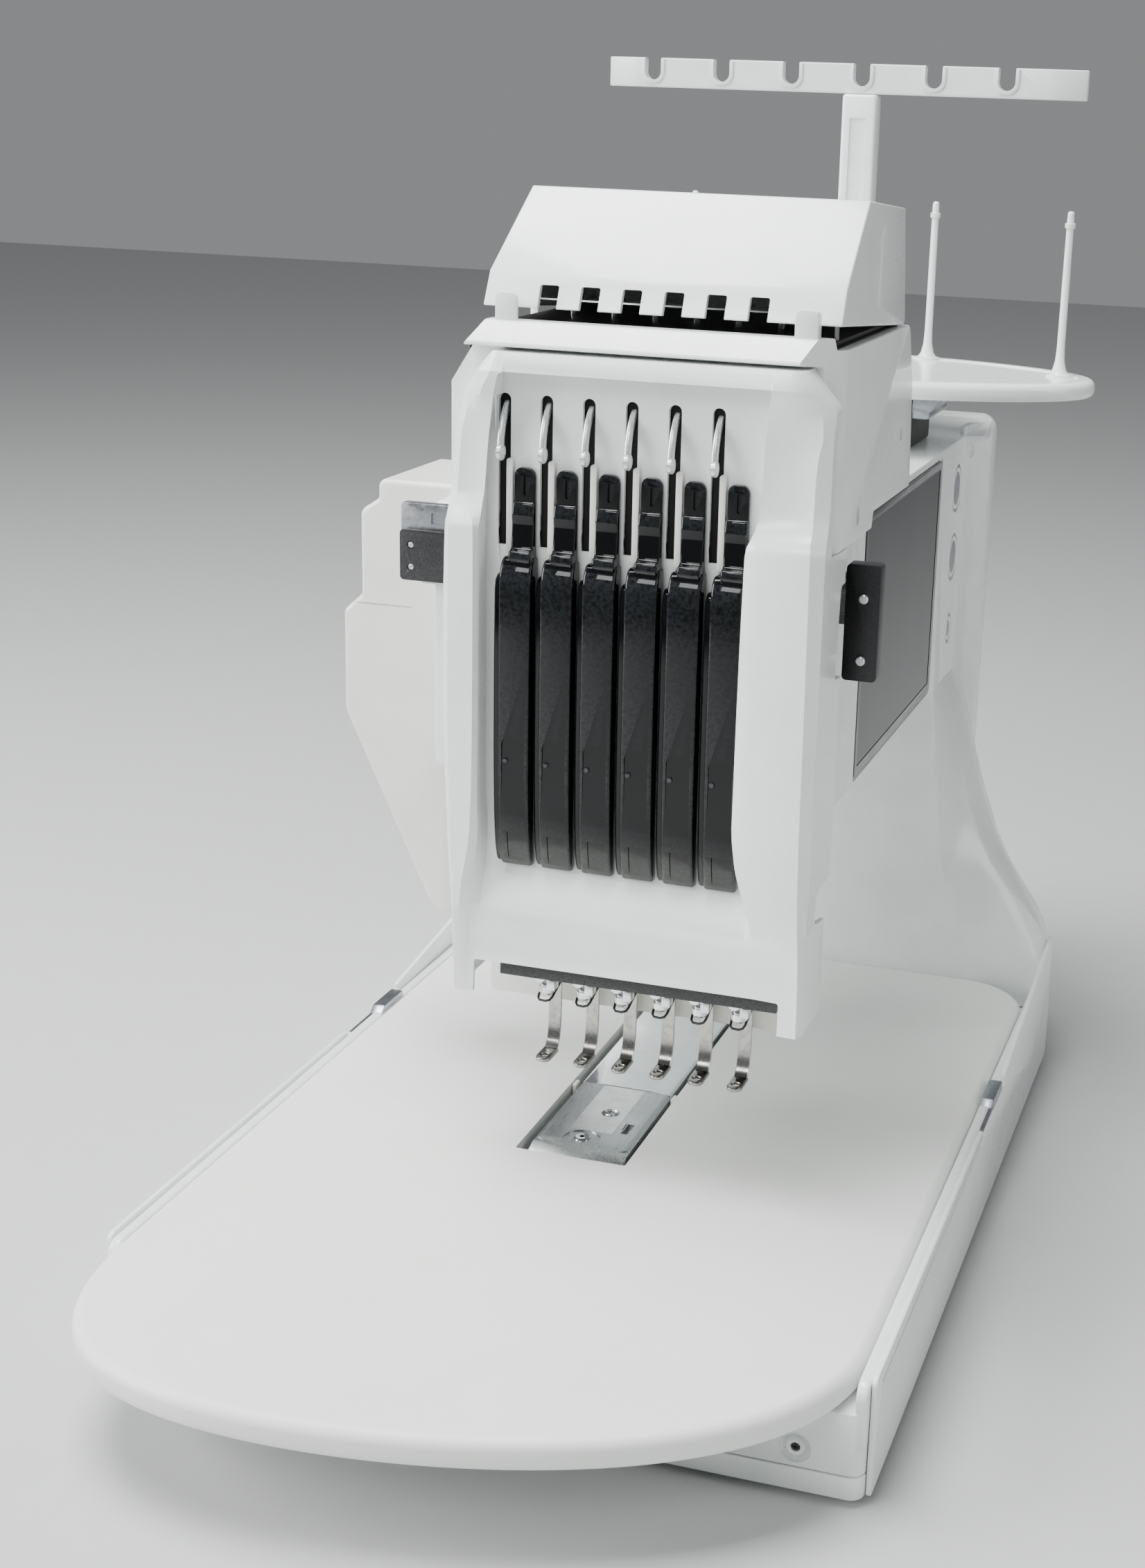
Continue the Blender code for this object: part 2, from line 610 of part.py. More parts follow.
def head_body():
    """Upper housing of the needle case over the arm's top, open to the front, two tabs on top."""
    side = [
        (HEAD_FRONT_Y, HEAD_BOTTOM_Z), (0.055, HEAD_BOTTOM_Z), (0.058, 0.4585), (0.157, 0.4585),
        (0.148, 0.520), (0.132, 0.5565), (-0.032, 0.5565), (-0.034, 0.563), (-0.045, 0.563),
        (-0.058, 0.5503), (HEAD_FRONT_Y, 0.5487),
    ]
    head = add_object("head_body", prism(side, "X", CASE_LEFT_X - 0.002, CASE_RIGHT_X), "white_shell")
    hollow = [(-0.050, 0.4545), (0.052, 0.4545), (0.055, 0.463), (0.152, 0.463), (0.143, 0.518),
              (0.130, 0.5525), (-0.034, 0.5525), (-0.035, 0.545), (-0.050, 0.545)]
    cut(head, prism(hollow, "X", CASE_LEFT_X + 0.002, CASE_RIGHT_X - WALL))
    unite(head, *[box((x, -0.0415, 0.560), (x + 0.0125, -0.0385, 0.5777)) for x in (-0.0550, 0.1095)])


def case_frame():
    """Casting that guides the needle bars: a back wall and three webs."""
    low_x, high_x, front_y, back_y = -0.056, 0.112, -0.028, 0.010
    low_z, top_z, web, wall = 0.183, 0.446, 0.008, 0.003
    frame = add_object("case_frame", box((low_x, front_y, low_z), (high_x, back_y, top_z)),
                       "cast_grey")
    middle_z = 0.320
    for bay_low, bay_top in ((low_z + web, middle_z), (middle_z + web, top_z - web)):
        cut(frame, box((low_x + wall, front_y - 0.01, bay_low), (high_x - wall, back_y - wall, bay_top)))
    cut(frame, *[cylinder((station_x(i), 0, 0), 0.0034, 0.17, 0.335, steps=12)
                 for i in range(STATIONS)])


def bottom_plate():
    """Apron behind the presser feet."""
    outline = rectangle((-0.082, 0.150), (0.112, 0.200), 0.004, 3)
    plate = add_object("bottom_plate", prism(outline, "Y", 0.0220, 0.0250), "cast_grey")
    cut(plate, box((-0.060, 0.01, 0.164), (0.090, 0.03, 0.169)))


def tension_base():
    """Plate under the tension cover with a tension dial for each thread."""
    low_z = 0.5568
    top_z = low_z + 0.003
    base = add_object("tension_base", box((-0.062, -0.024, low_z), (0.126, 0.106, top_z)),
                      "dark_plastic")
    unite(base, *[cylinder((station_x(i), 0.030, 0), 0.0095, low_z + 0.001, 0.592, steps=12)
                  for i in range(STATIONS)])


TENSION_HINGE = (0.0, 0.121, 0.5605)
HINGE_RADIUS = 0.0035  # of the rear edge, rounded about the hinge
COMB_FIRST_X, COMB_PITCH, COMB_WIDTH = -0.0352, 0.02326, 0.010


def tension_cover():
    """Sloping lid over the tension dials, hinged along its back edge; its front lip is a comb."""
    turns = [math.radians(angle) for angle in (0, 30, 60, 90)]
    _, hinge_y, hinge_z = TENSION_HINGE
    side = [(hinge_y + HINGE_RADIUS * math.sin(a), hinge_z - HINGE_RADIUS * math.cos(a)) for a in turns]
    side += [(0.109, 0.623), (0.018, 0.630), (-0.026, 0.587), (-0.034, 0.569)]
    right_x, left_lip_x, left_ridge_x = 0.132, -0.066, -0.058
    left = [left_lip_x] * len(turns) + [left_ridge_x - 0.004, left_ridge_x, -0.0655, left_lip_x]
    outer = loft([[(right_x, y, z) for y, z in side],
                  [(x, y, z) for x, (y, z) in zip(left, side)]])
    cover = add_object("tension_cover", outer, "white_shell", TENSION_HINGE)
    thick = 0.003
    inner_side = [(0.1215, 0.540), (0.1055, 0.6205), (0.0190, 0.6265), (-0.0233, 0.5855),
                  (-0.0310, 0.5675), (-0.0310, 0.540)]
    inner_left = [left_lip_x, left_ridge_x - 0.004, left_ridge_x, -0.0655, left_lip_x, left_lip_x]
    cut(cover, loft([[(right_x - thick, y, z) for y, z in inner_side],
                     [(x + thick, y, z) for x, (y, z) in zip(inner_left, inner_side)]]))
    for i in range(STATIONS):
        low_x = COMB_FIRST_X + COMB_PITCH * i
        cut(cover, box((low_x, -0.04, 0.55), (low_x + COMB_WIDTH, -0.0225, 0.581)))


def thread_cover(station):
    """Smoked cover over one thread path: a long box open behind, with a narrow tab on top."""
    middle = -0.040 + PITCH * station
    half = 0.01125
    back_y = RECESS_Y - GAP
    side = rounded([
        (back_y, 0.259), (-0.0500, 0.259), (-0.0560, 0.275), (-0.0580, 0.330), (-0.0570, 0.425),
        (-0.0520, 0.437), (back_y, 0.437),
    ], [0, 0.003, 0.010, 0, 0.004, 0.003, 0], 3)
    cover = add_object(f"thread_cover_{station + 1}",
                       prism(side, "X", middle - half, middle + half), "smoked")
    inner = [(-0.040, 0.262), (-0.0485, 0.262), (-0.0545, 0.277), (-0.0562, 0.330),
             (-0.0552, 0.423), (-0.0505, 0.4345), (-0.040, 0.4345)]
    cut(cover, prism(inner, "X", middle - half + 0.0015, middle + half - 0.0015))
    tab = rounded([(middle - 0.002, 0.430), (middle + 0.009, 0.430), (middle + 0.009, 0.485),
                   (middle - 0.002, 0.485)], [0, 0, 0.004, 0.004], 3)
    unite(cover, prism(tab, "Y", -0.0475, back_y))


# ---------------------------------------------------------------- stations
LEVER_PIVOT = (-0.002, 0.474)  # Y and Z
LEVER_THICK = 0.003


def needle_bar(station):
    """Needle bar with its driving collar and the needle clamp at its lower end."""
    rod, collar, clamp = 0.0025, 0.006, 0.0042
    profile = [
        (0, 0.166), (clamp, 0.166), (clamp, 0.1795), (rod, 0.1815), (rod, 0.380), (collar, 0.380),
        (collar, 0.392), (rod, 0.392), (rod, 0.430), (0, 0.430),
    ]
    centre = (station_x(station), 0, 0)
    add_object(f"needle_bar_{station + 1}", turned(profile, centre, "Z", 12), "chrome", centre)


def take_up_lever(station):
    """Arm from its pivot inside the head, through the slot, down to the eyelet in front."""
    pivot_y, pivot_z = LEVER_PIVOT
    low_x = LEVER_SLOT[0] + PITCH * station + 0.0022
    edges = (low_x, low_x + LEVER_THICK)
    curve = interpolate_bezier((-0.004, 0.478), (-0.012, 0.530), (-0.047, 0.532), (-0.0505, 0.496), 12)
    pivot = (low_x, pivot_y, pivot_z)
    lever = add_object(f"take_up_lever_{station + 1}",
                       prism(ribbon([tuple(p[:2]) for p in curve], 0.0055), "X", *edges),
                       "satin_steel", pivot)
    eyelet, hub = ellipse((-0.0505, 0.4935), 0.0042, 0.0042, 16), ellipse(LEVER_PIVOT, 0.007, 0.007, 16)
    inset = 0.0001
    unite(lever, prism(eyelet, "X", edges[0] - inset, edges[1] + inset),
          prism(hub, "X", edges[0] - 3 * inset, edges[1] + 3 * inset))
    cut(lever, cylinder((low_x, -0.0505, 0.4935), 0.0018, -0.01, 0.01, "X", 10))


def presser_foot(station):
    """Sprung strip from the case down to a ring round the needle."""
    middle = station_x(station)
    curve = interpolate_bezier((0.0155, 0.245), (0.0155, 0.170), (0.0160, 0.140), (0.0080, 0.1235), 10)
    strip = prism(ribbon([tuple(p[:2]) for p in curve], 0.0016), "X", middle - 0.004, middle + 0.004)
    centre = (middle, 0, 0)
    foot = add_object(f"presser_foot_{station + 1}", strip, "chrome", centre)
    sole = rounded([(middle - 0.0055, -0.009), (middle + 0.0055, -0.009), (middle + 0.0042, 0.0095),
                    (middle - 0.0042, 0.0095)], [0.0050, 0.0050, 0, 0], 5)
    unite(foot, prism(sole, "Z", 0.1210, 0.1236))
    cut(foot, cylinder((middle, -0.001, 0), 0.0028, 0.115, 0.130, steps=12))


def main():
    clear_scene()
    needle_line = bpy.data.objects.new("needle_line", None)
    bpy.context.scene.collection.objects.link(needle_line)
    needle_line.location = (0, NEEDLE_Y, 0)

    base_tray()
    base_shell()
    side_panel("side_panel_right", 1)
    side_panel("side_panel_left", -1)
    table_top()
    power_supply()
    control_board()

    free_arm()
    needle_plate()
    arm_cover()
    rotary_hook()
    bobbin_case()

    column_shell()
    arm_shell()
    screen()
    for name, (height, radius) in BUTTONS.items():
        button(name, height, radius)
    rear_cover()
    power_inlet()
    drive_casing()
    main_motor()
    main_shaft()
    case_rail()
    end_plates()

    spool_plate()
    spool_mount()
    thread_post()
    thread_bar()

    front_cover()
    head_body()
    case_frame()
    bottom_plate()
    tension_base()
    tension_cover()
    for station in range(STATIONS):
        thread_cover(station)
        needle_bar(station)
        take_up_lever(station)
        presser_foot(station)


main()
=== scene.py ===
"""Looks of a six-needle embroidery machine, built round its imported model.

Lengths are in millimetres about the needle line, until settle() puts a piece in its place in
metres: X to the right of a person who sits at the machine, Y from the needles to the column, Z up.
"""

import logging
import math
from collections.abc import Iterator, Sequence
from contextlib import contextmanager
from dataclasses import dataclass
from enum import Enum
from typing import Any

import bmesh
import bpy
from mathutils import Matrix, Vector
from mathutils.geometry import interpolate_bezier


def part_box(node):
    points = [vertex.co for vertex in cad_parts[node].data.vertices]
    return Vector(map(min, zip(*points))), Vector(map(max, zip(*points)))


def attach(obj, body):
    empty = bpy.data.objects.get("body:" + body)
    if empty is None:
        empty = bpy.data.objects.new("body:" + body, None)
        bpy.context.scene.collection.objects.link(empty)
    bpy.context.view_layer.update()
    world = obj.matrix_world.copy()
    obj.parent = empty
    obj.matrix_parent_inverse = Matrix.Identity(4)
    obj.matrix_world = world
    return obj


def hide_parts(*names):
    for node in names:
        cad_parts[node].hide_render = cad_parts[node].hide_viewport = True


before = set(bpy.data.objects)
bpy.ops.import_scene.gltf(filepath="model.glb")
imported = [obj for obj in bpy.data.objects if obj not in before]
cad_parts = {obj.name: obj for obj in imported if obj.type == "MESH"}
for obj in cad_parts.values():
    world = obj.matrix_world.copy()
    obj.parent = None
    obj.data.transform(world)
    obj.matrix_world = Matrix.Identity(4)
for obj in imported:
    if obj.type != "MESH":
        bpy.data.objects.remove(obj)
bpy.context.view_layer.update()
LOG = logging.getLogger("embroidery_machine")
MM = 0.001

Flat = tuple[float, float]
Place = tuple[float, float, float]
Piece = bpy.types.Object


def centre_of(node: str) -> Vector:
    """Middle of a CAD node's box, in metres."""
    low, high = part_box(node)
    return (low + high) / 2


NEEDLE_Y = centre_of("needle_bar_1").y
FIRST_NEEDLE = centre_of("needle_bar_1").x / MM
PITCH = (centre_of("needle_bar_6").x / MM - FIRST_NEEDLE) / 5
STATIONS = range(6)
BUTTON_Y = 391
BUTTONS = (("top", 420, 15), ("middle", 371, 15), ("bottom", 319, 9))  # height and radius
SCREEN_LOW, SCREEN_HIGH = (104, 294), (322, 443)
SLOT_LEFT = -52.5  # left edge of the first lever's slot


class Axis(Enum):
    """Direction that an outline is drawn across or a shape is turned about."""

    X = (1, 2, 0)
    Y = (0, 2, 1)
    Z = (0, 1, 2)

    def at(self, a: float, b: float, along: float) -> Place:
        """Point at (a, b) in the outline's plane and along the axis."""
        point = [0.0, 0.0, 0.0]
        for index, value in zip(self.value, (a, b, along)):
            point[index] = value
        return tuple(point)


# ---------------------------------------------------------------- finishes
def linear(hex_colour: str) -> tuple[float, float, float, float]:
    """Linear colour of an sRGB hex value."""
    shares = (int(hex_colour[i:i + 2], 16) / 255 for i in (1, 3, 5))
    return (*(s / 12.92 if s <= 0.04045 else ((s + 0.055) / 1.055) ** 2.4 for s in shares), 1.0)


def add_node(tree: Any, kind: str, settings: dict[str, Any], inputs: dict[Any, Any]) -> Any:
    """Adds a shader node.

    Args:
        tree: Node tree of the material.
        kind: Node type, without the leading "ShaderNode".
        settings: The node's own properties.
        inputs: Values, or sockets to link from, by the input's name or number.

    Returns:
        The node.
    """
    node = tree.nodes.new("ShaderNode" + kind)
    for name, value in settings.items():
        setattr(node, name, value)
    for key, value in inputs.items():
        feed(tree, node.inputs[key], value)
    return node


def feed(tree: Any, socket: Any, value: Any) -> None:
    """Links another node's socket to an input, or sets the input to a plain value."""
    if isinstance(value, bpy.types.NodeSocket):
        tree.links.new(value, socket)
    else:
        socket.default_value = value


def ranged(tree: Any, value: Any, span: Flat, result: Flat = (0.0, 1.0), **settings: Any) -> Any:
    """Socket of a value mapped from one range to another."""
    return add_node(tree, "MapRange", settings, {
        "Value": value, "From Min": span[0], "From Max": span[1], "To Min": result[0],
        "To Max": result[1]}).outputs[0]


def mixed(tree: Any, share: Any, base: Any, over: Any) -> Any:
    """Socket of one colour laid over another by a share."""
    return add_node(tree, "Mix", {"data_type": "RGBA"}, {0: share, 6: base, 7: over}).outputs[2]


@dataclass(frozen=True)
class Finish:
    """A material: what it is made of, its grain at real scale and how its edges have worn."""

    name: str
    colour: str
    roughness: float
    metallic: float = 0.0
    ior: float | None = None
    coat: float = 0.0
    transmission: float = 0.0
    anisotropic: float = 0.0
    grain_mm: float = 0.8  # from one bump of the grain to the next
    grain_height_mm: float = 0.01
    drawn_out: Axis | None = None  # direction of brushing
    wave_mm: float = 70.0  # sink marks and hand-polish waves
    wave_height_mm: float = 0.10
    shade: str | None = None  # colour of the broad patches
    shade_amount: float = 0.25
    roughness_change: float = 0.06
    wear: str | None = None  # colour of rubbed edges
    wear_amount: float = 0.3
    # painted_light_band: heights over which the colour turns paler below, painted light seen
    # through thin plastic
    painted_light_band: tuple[float, float, str] | None = None  # height from, height to (mm), colour below

    def make(self) -> Any:
        """Builds the material, or returns it if a piece has it already."""
        found = bpy.data.materials.get(self.name)
        if found:
            return found
        material = bpy.data.materials.new(self.name)
        material.use_nodes = True
        tree = material.node_tree
        shader = tree.nodes["Principled BSDF"]
        place = add_node(tree, "TexCoord", {}, {}).outputs["Object"]
        stretch = [1.0, 1.0, 1.0]
        if self.drawn_out:
            stretch[self.drawn_out.value[2]] = 0.03
        grain_place = add_node(tree, "Mapping", {}, {"Vector": place, "Scale": stretch})
        grain = add_node(tree, "TexNoise", {}, {
            "Vector": grain_place.outputs[0], "Scale": 1 / (self.grain_mm * MM), "Detail": 3.0,
            "Roughness": 0.6})
        wave = add_node(tree, "TexNoise", {}, {
            "Vector": place, "Scale": 1 / (self.wave_mm * MM), "Detail": 2.0, "Roughness": 0.45})
        patches = add_node(tree, "TexNoise", {}, {
            "Vector": place, "Scale": 1 / (0.35 * self.wave_mm * MM), "Detail": 4.0})
        colour = self.colouring(tree, place, patches.outputs["Fac"], grain.outputs["Fac"])
        feed(tree, shader.inputs["Base Color"], colour)
        change = self.roughness_change
        rubbed = ranged(tree, grain.outputs["Fac"], (0.35, 0.65),
                        (self.roughness - change, self.roughness + change))
        handled = ranged(tree, patches.outputs["Fac"], (0.3, 0.7), (-change / 2, change / 2))
        total = add_node(tree, "Math", {"operation": "ADD", "use_clamp": True}, {
            0: rubbed, 1: handled})
        tree.links.new(total.outputs[0], shader.inputs["Roughness"])
        waved = add_node(tree, "Bump", {}, {
            "Strength": 1.0, "Distance": self.wave_height_mm * MM, "Height": wave.outputs["Fac"]})
        grained = add_node(tree, "Bump", {}, {
            "Strength": 1.0, "Distance": self.grain_height_mm * MM,
            "Height": grain.outputs["Fac"], "Normal": waved.outputs[0]})
        tree.links.new(grained.outputs[0], shader.inputs["Normal"])
        for name, value in (("Metallic", self.metallic), ("Coat Weight", self.coat),
                            ("Coat Roughness", 0.05), ("Transmission Weight", self.transmission),
                            ("Anisotropic", self.anisotropic)):
            shader.inputs[name].default_value = value
        if self.ior:
            shader.inputs["IOR"].default_value = self.ior
        return material

    def colouring(self, tree: Any, place: Any, patches: Any, grain: Any) -> Any:
        """Adds the nodes of the colour and returns their last socket."""
        colour = linear(self.colour)
        # Painted light: below the band the colour turns paler, as light seen through thin plastic
        # would look.
        if self.painted_light_band:
            low, high, below = self.painted_light_band
            height = add_node(tree, "SeparateXYZ", {}, {"Vector": place}).outputs["Z"]
            share = ranged(tree, height, (low * MM, high * MM), interpolation_type="SMOOTHSTEP")
            colour = mixed(tree, share, linear(below), colour)
        if self.shade:
            share = ranged(tree, patches, (0.42, 0.7), (0.0, self.shade_amount))
            colour = mixed(tree, share, colour, linear(self.shade))
        if self.wear:
            edges = add_node(tree, "NewGeometry", {}, {}).outputs["Pointiness"]
            edge = ranged(tree, edges, (0.52, 0.62))
            broken = ranged(tree, grain, (0.3, 0.6), (0.0, self.wear_amount))
            worn = add_node(tree, "Math", {"operation": "MULTIPLY"}, {0: edge, 1: broken})
            colour = mixed(tree, worn.outputs[0], colour, linear(self.wear))
        return colour


# Injection-moulded ABS: cool white, half gloss, faint sink marks, spark-eroded grain.
MOULDED_WHITE = Finish(
    "white ABS, injection moulded", "#EDF1F0", 0.22, ior=1.52, coat=0.25, grain_mm=0.9,
    grain_height_mm=0.004, wave_mm=80, wave_height_mm=0.22, shade="#DDE2E2", shade_amount=0.5,
    wear="#F6F8F7", wear_amount=0.5)
# The same ABS on the drive casing, warmer from age, with a duller skin.
MOULDED_WARM = Finish(
    "warm white ABS, injection moulded", "#E4E4DD", 0.33, ior=1.52, coat=0.1, grain_mm=1.0,
    grain_height_mm=0.006, wave_mm=90, wave_height_mm=0.2, shade="#D6D6CD", shade_amount=0.5,
    wear="#F2F2EC", wear_amount=0.4)
# Melamine board: fine pearl texture that scatters light, so nearly matte.
TABLE_MELAMINE = Finish(
    "white melamine, pearl textured", "#E9EDE8", 0.48, ior=1.50, grain_mm=1.3,
    grain_height_mm=0.028, wave_mm=160, wave_height_mm=0.1, shade="#E3E4DF", shade_amount=0.45,
    roughness_change=0.08, wear="#F3F3F0", wear_amount=0.4)
# Smoked polycarbonate, polished mould: near black, sharp reflections; painted paler towards its
# lower end, painted light standing in for light seen through the thin plastic.
SMOKED = Finish(
    "smoked polycarbonate, polished", "#040506", 0.05, ior=1.42, grain_mm=2.0,
    grain_height_mm=0.0015, wave_mm=45, wave_height_mm=0.12, shade="#06090C", shade_amount=0.25,
    roughness_change=0.02, wear="#5C6165", wear_amount=0.7, painted_light_band=(262, 292, "#3B3C3A"))
# Chrome plate over polished steel: mirror with slight waves from the polishing wheel.
CHROME = Finish(
    "chrome plate, polished", "#D6D8DA", 0.07, metallic=1.0, grain_mm=1.2, grain_height_mm=0.001,
    wave_mm=25, wave_height_mm=0.10, shade="#BFC2C5", shade_amount=0.4, roughness_change=0.03,
    wear="#EDEEEF")
# Stainless sheet, brushed along its length: satin, with fine lines.
BRUSHED_STEEL = Finish(
    "stainless steel, brushed", "#AEB1B4", 0.30, metallic=1.0, anisotropic=0.4, grain_mm=0.5,
    grain_height_mm=0.004, drawn_out=Axis.Y, wave_mm=40, wave_height_mm=0.02, shade="#96999C",
    shade_amount=0.4, wear="#D5D7D9")
GROUND_STEEL = Finish(
    "steel, ground flat", "#D3D5D6", 0.24, metallic=1.0, anisotropic=0.3, grain_mm=0.6,
    grain_height_mm=0.003, drawn_out=Axis.X, wave_mm=22, wave_height_mm=0.03, shade="#C0BDB8",
    shade_amount=0.5, wear="#E8E9EA")
NICKEL_STRIP = Finish(
    "spring steel, nickel plated", "#9C9A96", 0.20, metallic=1.0, grain_mm=0.4,
    grain_height_mm=0.002, drawn_out=Axis.Z, wave_mm=12, wave_height_mm=0.02, shade="#6E6C69",
    shade_amount=0.7, wear="#E0E0DF", wear_amount=0.6)
# Lever steel, tumbled and nickel plated: pale, soft reflections.
TUMBLED = Finish(
    "steel, tumbled and nickel plated", "#DCDFE1", 0.32, metallic=0.75, grain_mm=0.7,
    grain_height_mm=0.004, wave_mm=15, shade="#C2C6C9", wear="#F4F5F5", wear_amount=0.5)
# Die-cast aluminium, shot blasted: grey, with a sandy grain.
CAST_ALUMINIUM = Finish(
    "aluminium, die cast and blasted", "#A9ABAC", 0.46, metallic=0.9, grain_mm=0.7,
    grain_height_mm=0.03, shade="#8F9193", shade_amount=0.5, roughness_change=0.10,
    wear="#C9CBCC", wear_amount=0.5)
# Steel sheet with black oxide: dull black that rubs to bare metal on its edges.
BLACK_OXIDE = Finish(
    "steel sheet, black oxide", "#131214", 0.42, metallic=0.3, grain_mm=0.6,
    grain_height_mm=0.008, shade="#211F22", shade_amount=0.6, wear="#77797B", wear_amount=0.6)
ZINC_SHEET = Finish(
    "steel sheet, zinc plated", "#A9ACB0", 0.34, metallic=1.0, grain_mm=3.0,
    grain_height_mm=0.004, wave_mm=20, shade="#8A8E94", shade_amount=0.7, wear="#C9CDD4")
# Toughened glass over a switched-off display: black, mirror smooth.
SCREEN_GLASS = Finish(
    "display glass, toughened", "#101617", 0.05, ior=1.22, grain_mm=3.0,
    grain_height_mm=0.0004, wave_mm=120, wave_height_mm=0.03, shade="#222C2D", shade_amount=0.6,
    roughness_change=0.015)
BEZEL = Finish(
    "black ABS, silk screened edge", "#0E1011", 0.22, ior=1.52, coat=0.3, grain_mm=0.8,
    grain_height_mm=0.003, shade="#17191A", wear="#4B4E50")
# Acrylic with a frosted skin: milky, light comes through its thin edge.
FROSTED = Finish(
    "acrylic, frosted", "#EEF3F1", 0.38, ior=1.49, transmission=0.22, grain_mm=0.7,
    grain_height_mm=0.012, wave_mm=50, shade="#E2EAE7", shade_amount=0.5, wear="#FBFDFC",
    wear_amount=0.5)
DARK_NYLON = Finish(
    "black nylon, moulded", "#1B1A19", 0.5, ior=1.53, grain_mm=0.6, grain_height_mm=0.02,
    shade="#2A2723", shade_amount=0.6, wear="#565350", wear_amount=0.5)
# Matte black sheets put in gaps, wells and behind openings: painted shade.
SHADOW_FELT = Finish(
    "painted shade, matte black", "#0A0A0A", 0.85, ior=1.45, grain_mm=1.0, grain_height_mm=0.1,
    shade="#141414", wear="#1C1C1C")
CIRCUIT = Finish(
    "glass-epoxy board, solder mask", "#1C5A34", 0.35, ior=1.55, grain_mm=1.5,
    grain_height_mm=0.03, drawn_out=Axis.Y, shade="#123F24", shade_amount=0.7, wear="#B08A4A")
FLOOR_PAPER = Finish(
    "studio paper", "#C3C4C4", 0.9, grain_mm=6.0, grain_height_mm=0.05, shade="#BEBFBF")


# ---------------------------------------------------------------- bench work
def make_active(*pieces: Piece) -> None:
    """Leaves only these pieces selected, with the first one active, in object mode."""
    if bpy.context.mode != "OBJECT":
        bpy.ops.object.mode_set(mode="OBJECT")
    bpy.ops.object.select_all(action="DESELECT")
    for piece in pieces:
        piece.select_set(True)
    if pieces:
        bpy.context.view_layer.objects.active = pieces[0]


@contextmanager
def edit(piece: Piece, kind: str = "FACE") -> Iterator[Any]:
    """Edit mode on one piece, with nothing selected, as a context that gives its bmesh."""
    make_active(piece)
    bpy.ops.object.mode_set(mode="EDIT")
    bpy.ops.mesh.select_mode(type=kind)
    bpy.ops.mesh.select_all(action="DESELECT")
    yield bmesh.from_edit_mesh(piece.data)
    bpy.ops.object.mode_set(mode="OBJECT")


def modify(piece: Piece, kind: str, **settings: Any) -> None:
    """Adds a modifier and applies it."""
    modifier = piece.modifiers.new(kind.title(), kind)
    for name, value in settings.items():
        setattr(modifier, name, value)
    make_active(piece)
    bpy.ops.object.modifier_apply(modifier=modifier.name)


def round_edges(piece: Piece, width: float, segments: int = 2, angle: float = 40) -> Piece:
    """Rounds the edges sharper than the angle, in degrees."""
    modify(piece, "BEVEL", width=width, segments=segments, limit_method="ANGLE",
           angle_limit=math.radians(angle), use_clamp_overlap=True)
    return piece


def combine(piece: Piece, how: str, others: Sequence[Piece]) -> Piece:
    """Cuts others from the piece, or unites them with it, and removes them."""
    for other in others:
        modify(piece, "BOOLEAN", operation=how, solver="EXACT", object=other)
        bpy.data.objects.remove(other)
    return piece


def carve(piece: Piece, *cutters: Piece) -> Piece:
    """Cuts each cutter from the piece."""
    return combine(piece, "DIFFERENCE", cutters)


def weld(piece: Piece, *others: Piece) -> Piece:
    """Unites each other solid with the piece."""
    return combine(piece, "UNION", others)


def plate(name: str, outline: Sequence[Flat], axis: Axis, low: float, high: float,
          bevel: float = 0.0, segments: int = 2, angle: float = 40) -> Piece:
    """Extrudes an outline along an axis.

    Args:
        name: Name of the piece.
        outline: Corners of the outline, across the axis.
        axis: Direction of the extrusion.
        low: Where it starts along the axis.
        high: Where it ends.
        bevel: Width of the rounding of its edges.
        segments: Steps of that rounding.
        angle: Edges sharper than this, in degrees, are rounded.

    Returns:
        The piece.
    """
    make_active()
    bpy.ops.mesh.primitive_circle_add(vertices=len(outline), radius=1.0, fill_type="NGON")
    piece = bpy.context.object
    piece.name = name
    for vertex, (a, b) in zip(piece.data.vertices, outline):
        vertex.co = axis.at(a, b, low)
    with edit(piece):
        bpy.ops.mesh.select_all(action="SELECT")
        bpy.ops.mesh.extrude_region_move(
            TRANSFORM_OT_translate={"value": axis.at(0, 0, high - low)})
        bpy.ops.mesh.select_all(action="SELECT")
        bpy.ops.mesh.normals_make_consistent(inside=False)
    return round_edges(piece, bevel, segments, angle) if bevel else piece


def block(name: str, low: Place, high: Place, bevel: float = 0.0, segments: int = 2) -> Piece:
    """Box between two corners with rounded edges."""
    corners = [(low[0], low[1]), (high[0], low[1]), (high[0], high[1]), (low[0], high[1])]
    return plate(name, corners, Axis.Z, low[2], high[2], bevel, segments)


def skin(name: str, rows: Sequence[Sequence[Place]], closed: bool = True,
         capped: bool = True) -> Piece:
    """Stretches a grid over rows of points.

    Args:
        name: Name of the piece.
        rows: Rows of equally many points.
        closed: Whether each row is a loop.
        capped: Whether the open ends are filled.

    Returns:
        The piece.
    """
    width = len(rows[0]) + closed
    make_active()
    bpy.ops.mesh.primitive_grid_add(x_subdivisions=width - 1, y_subdivisions=len(rows) - 1, size=1)
    piece = bpy.context.object
    piece.name = name
    for i, row in enumerate(rows):
        for j in range(width):
            piece.data.vertices[i * width + j].co = row[j % len(row)]
    with edit(piece, "VERT"):
        bpy.ops.mesh.select_all(action="SELECT")
        bpy.ops.mesh.remove_doubles(threshold=0.001)
        if capped:
            bpy.ops.mesh.fill_holes(sides=0)
        bpy.ops.mesh.select_all(action="SELECT")
        bpy.ops.mesh.normals_make_consistent(inside=False)
    return piece


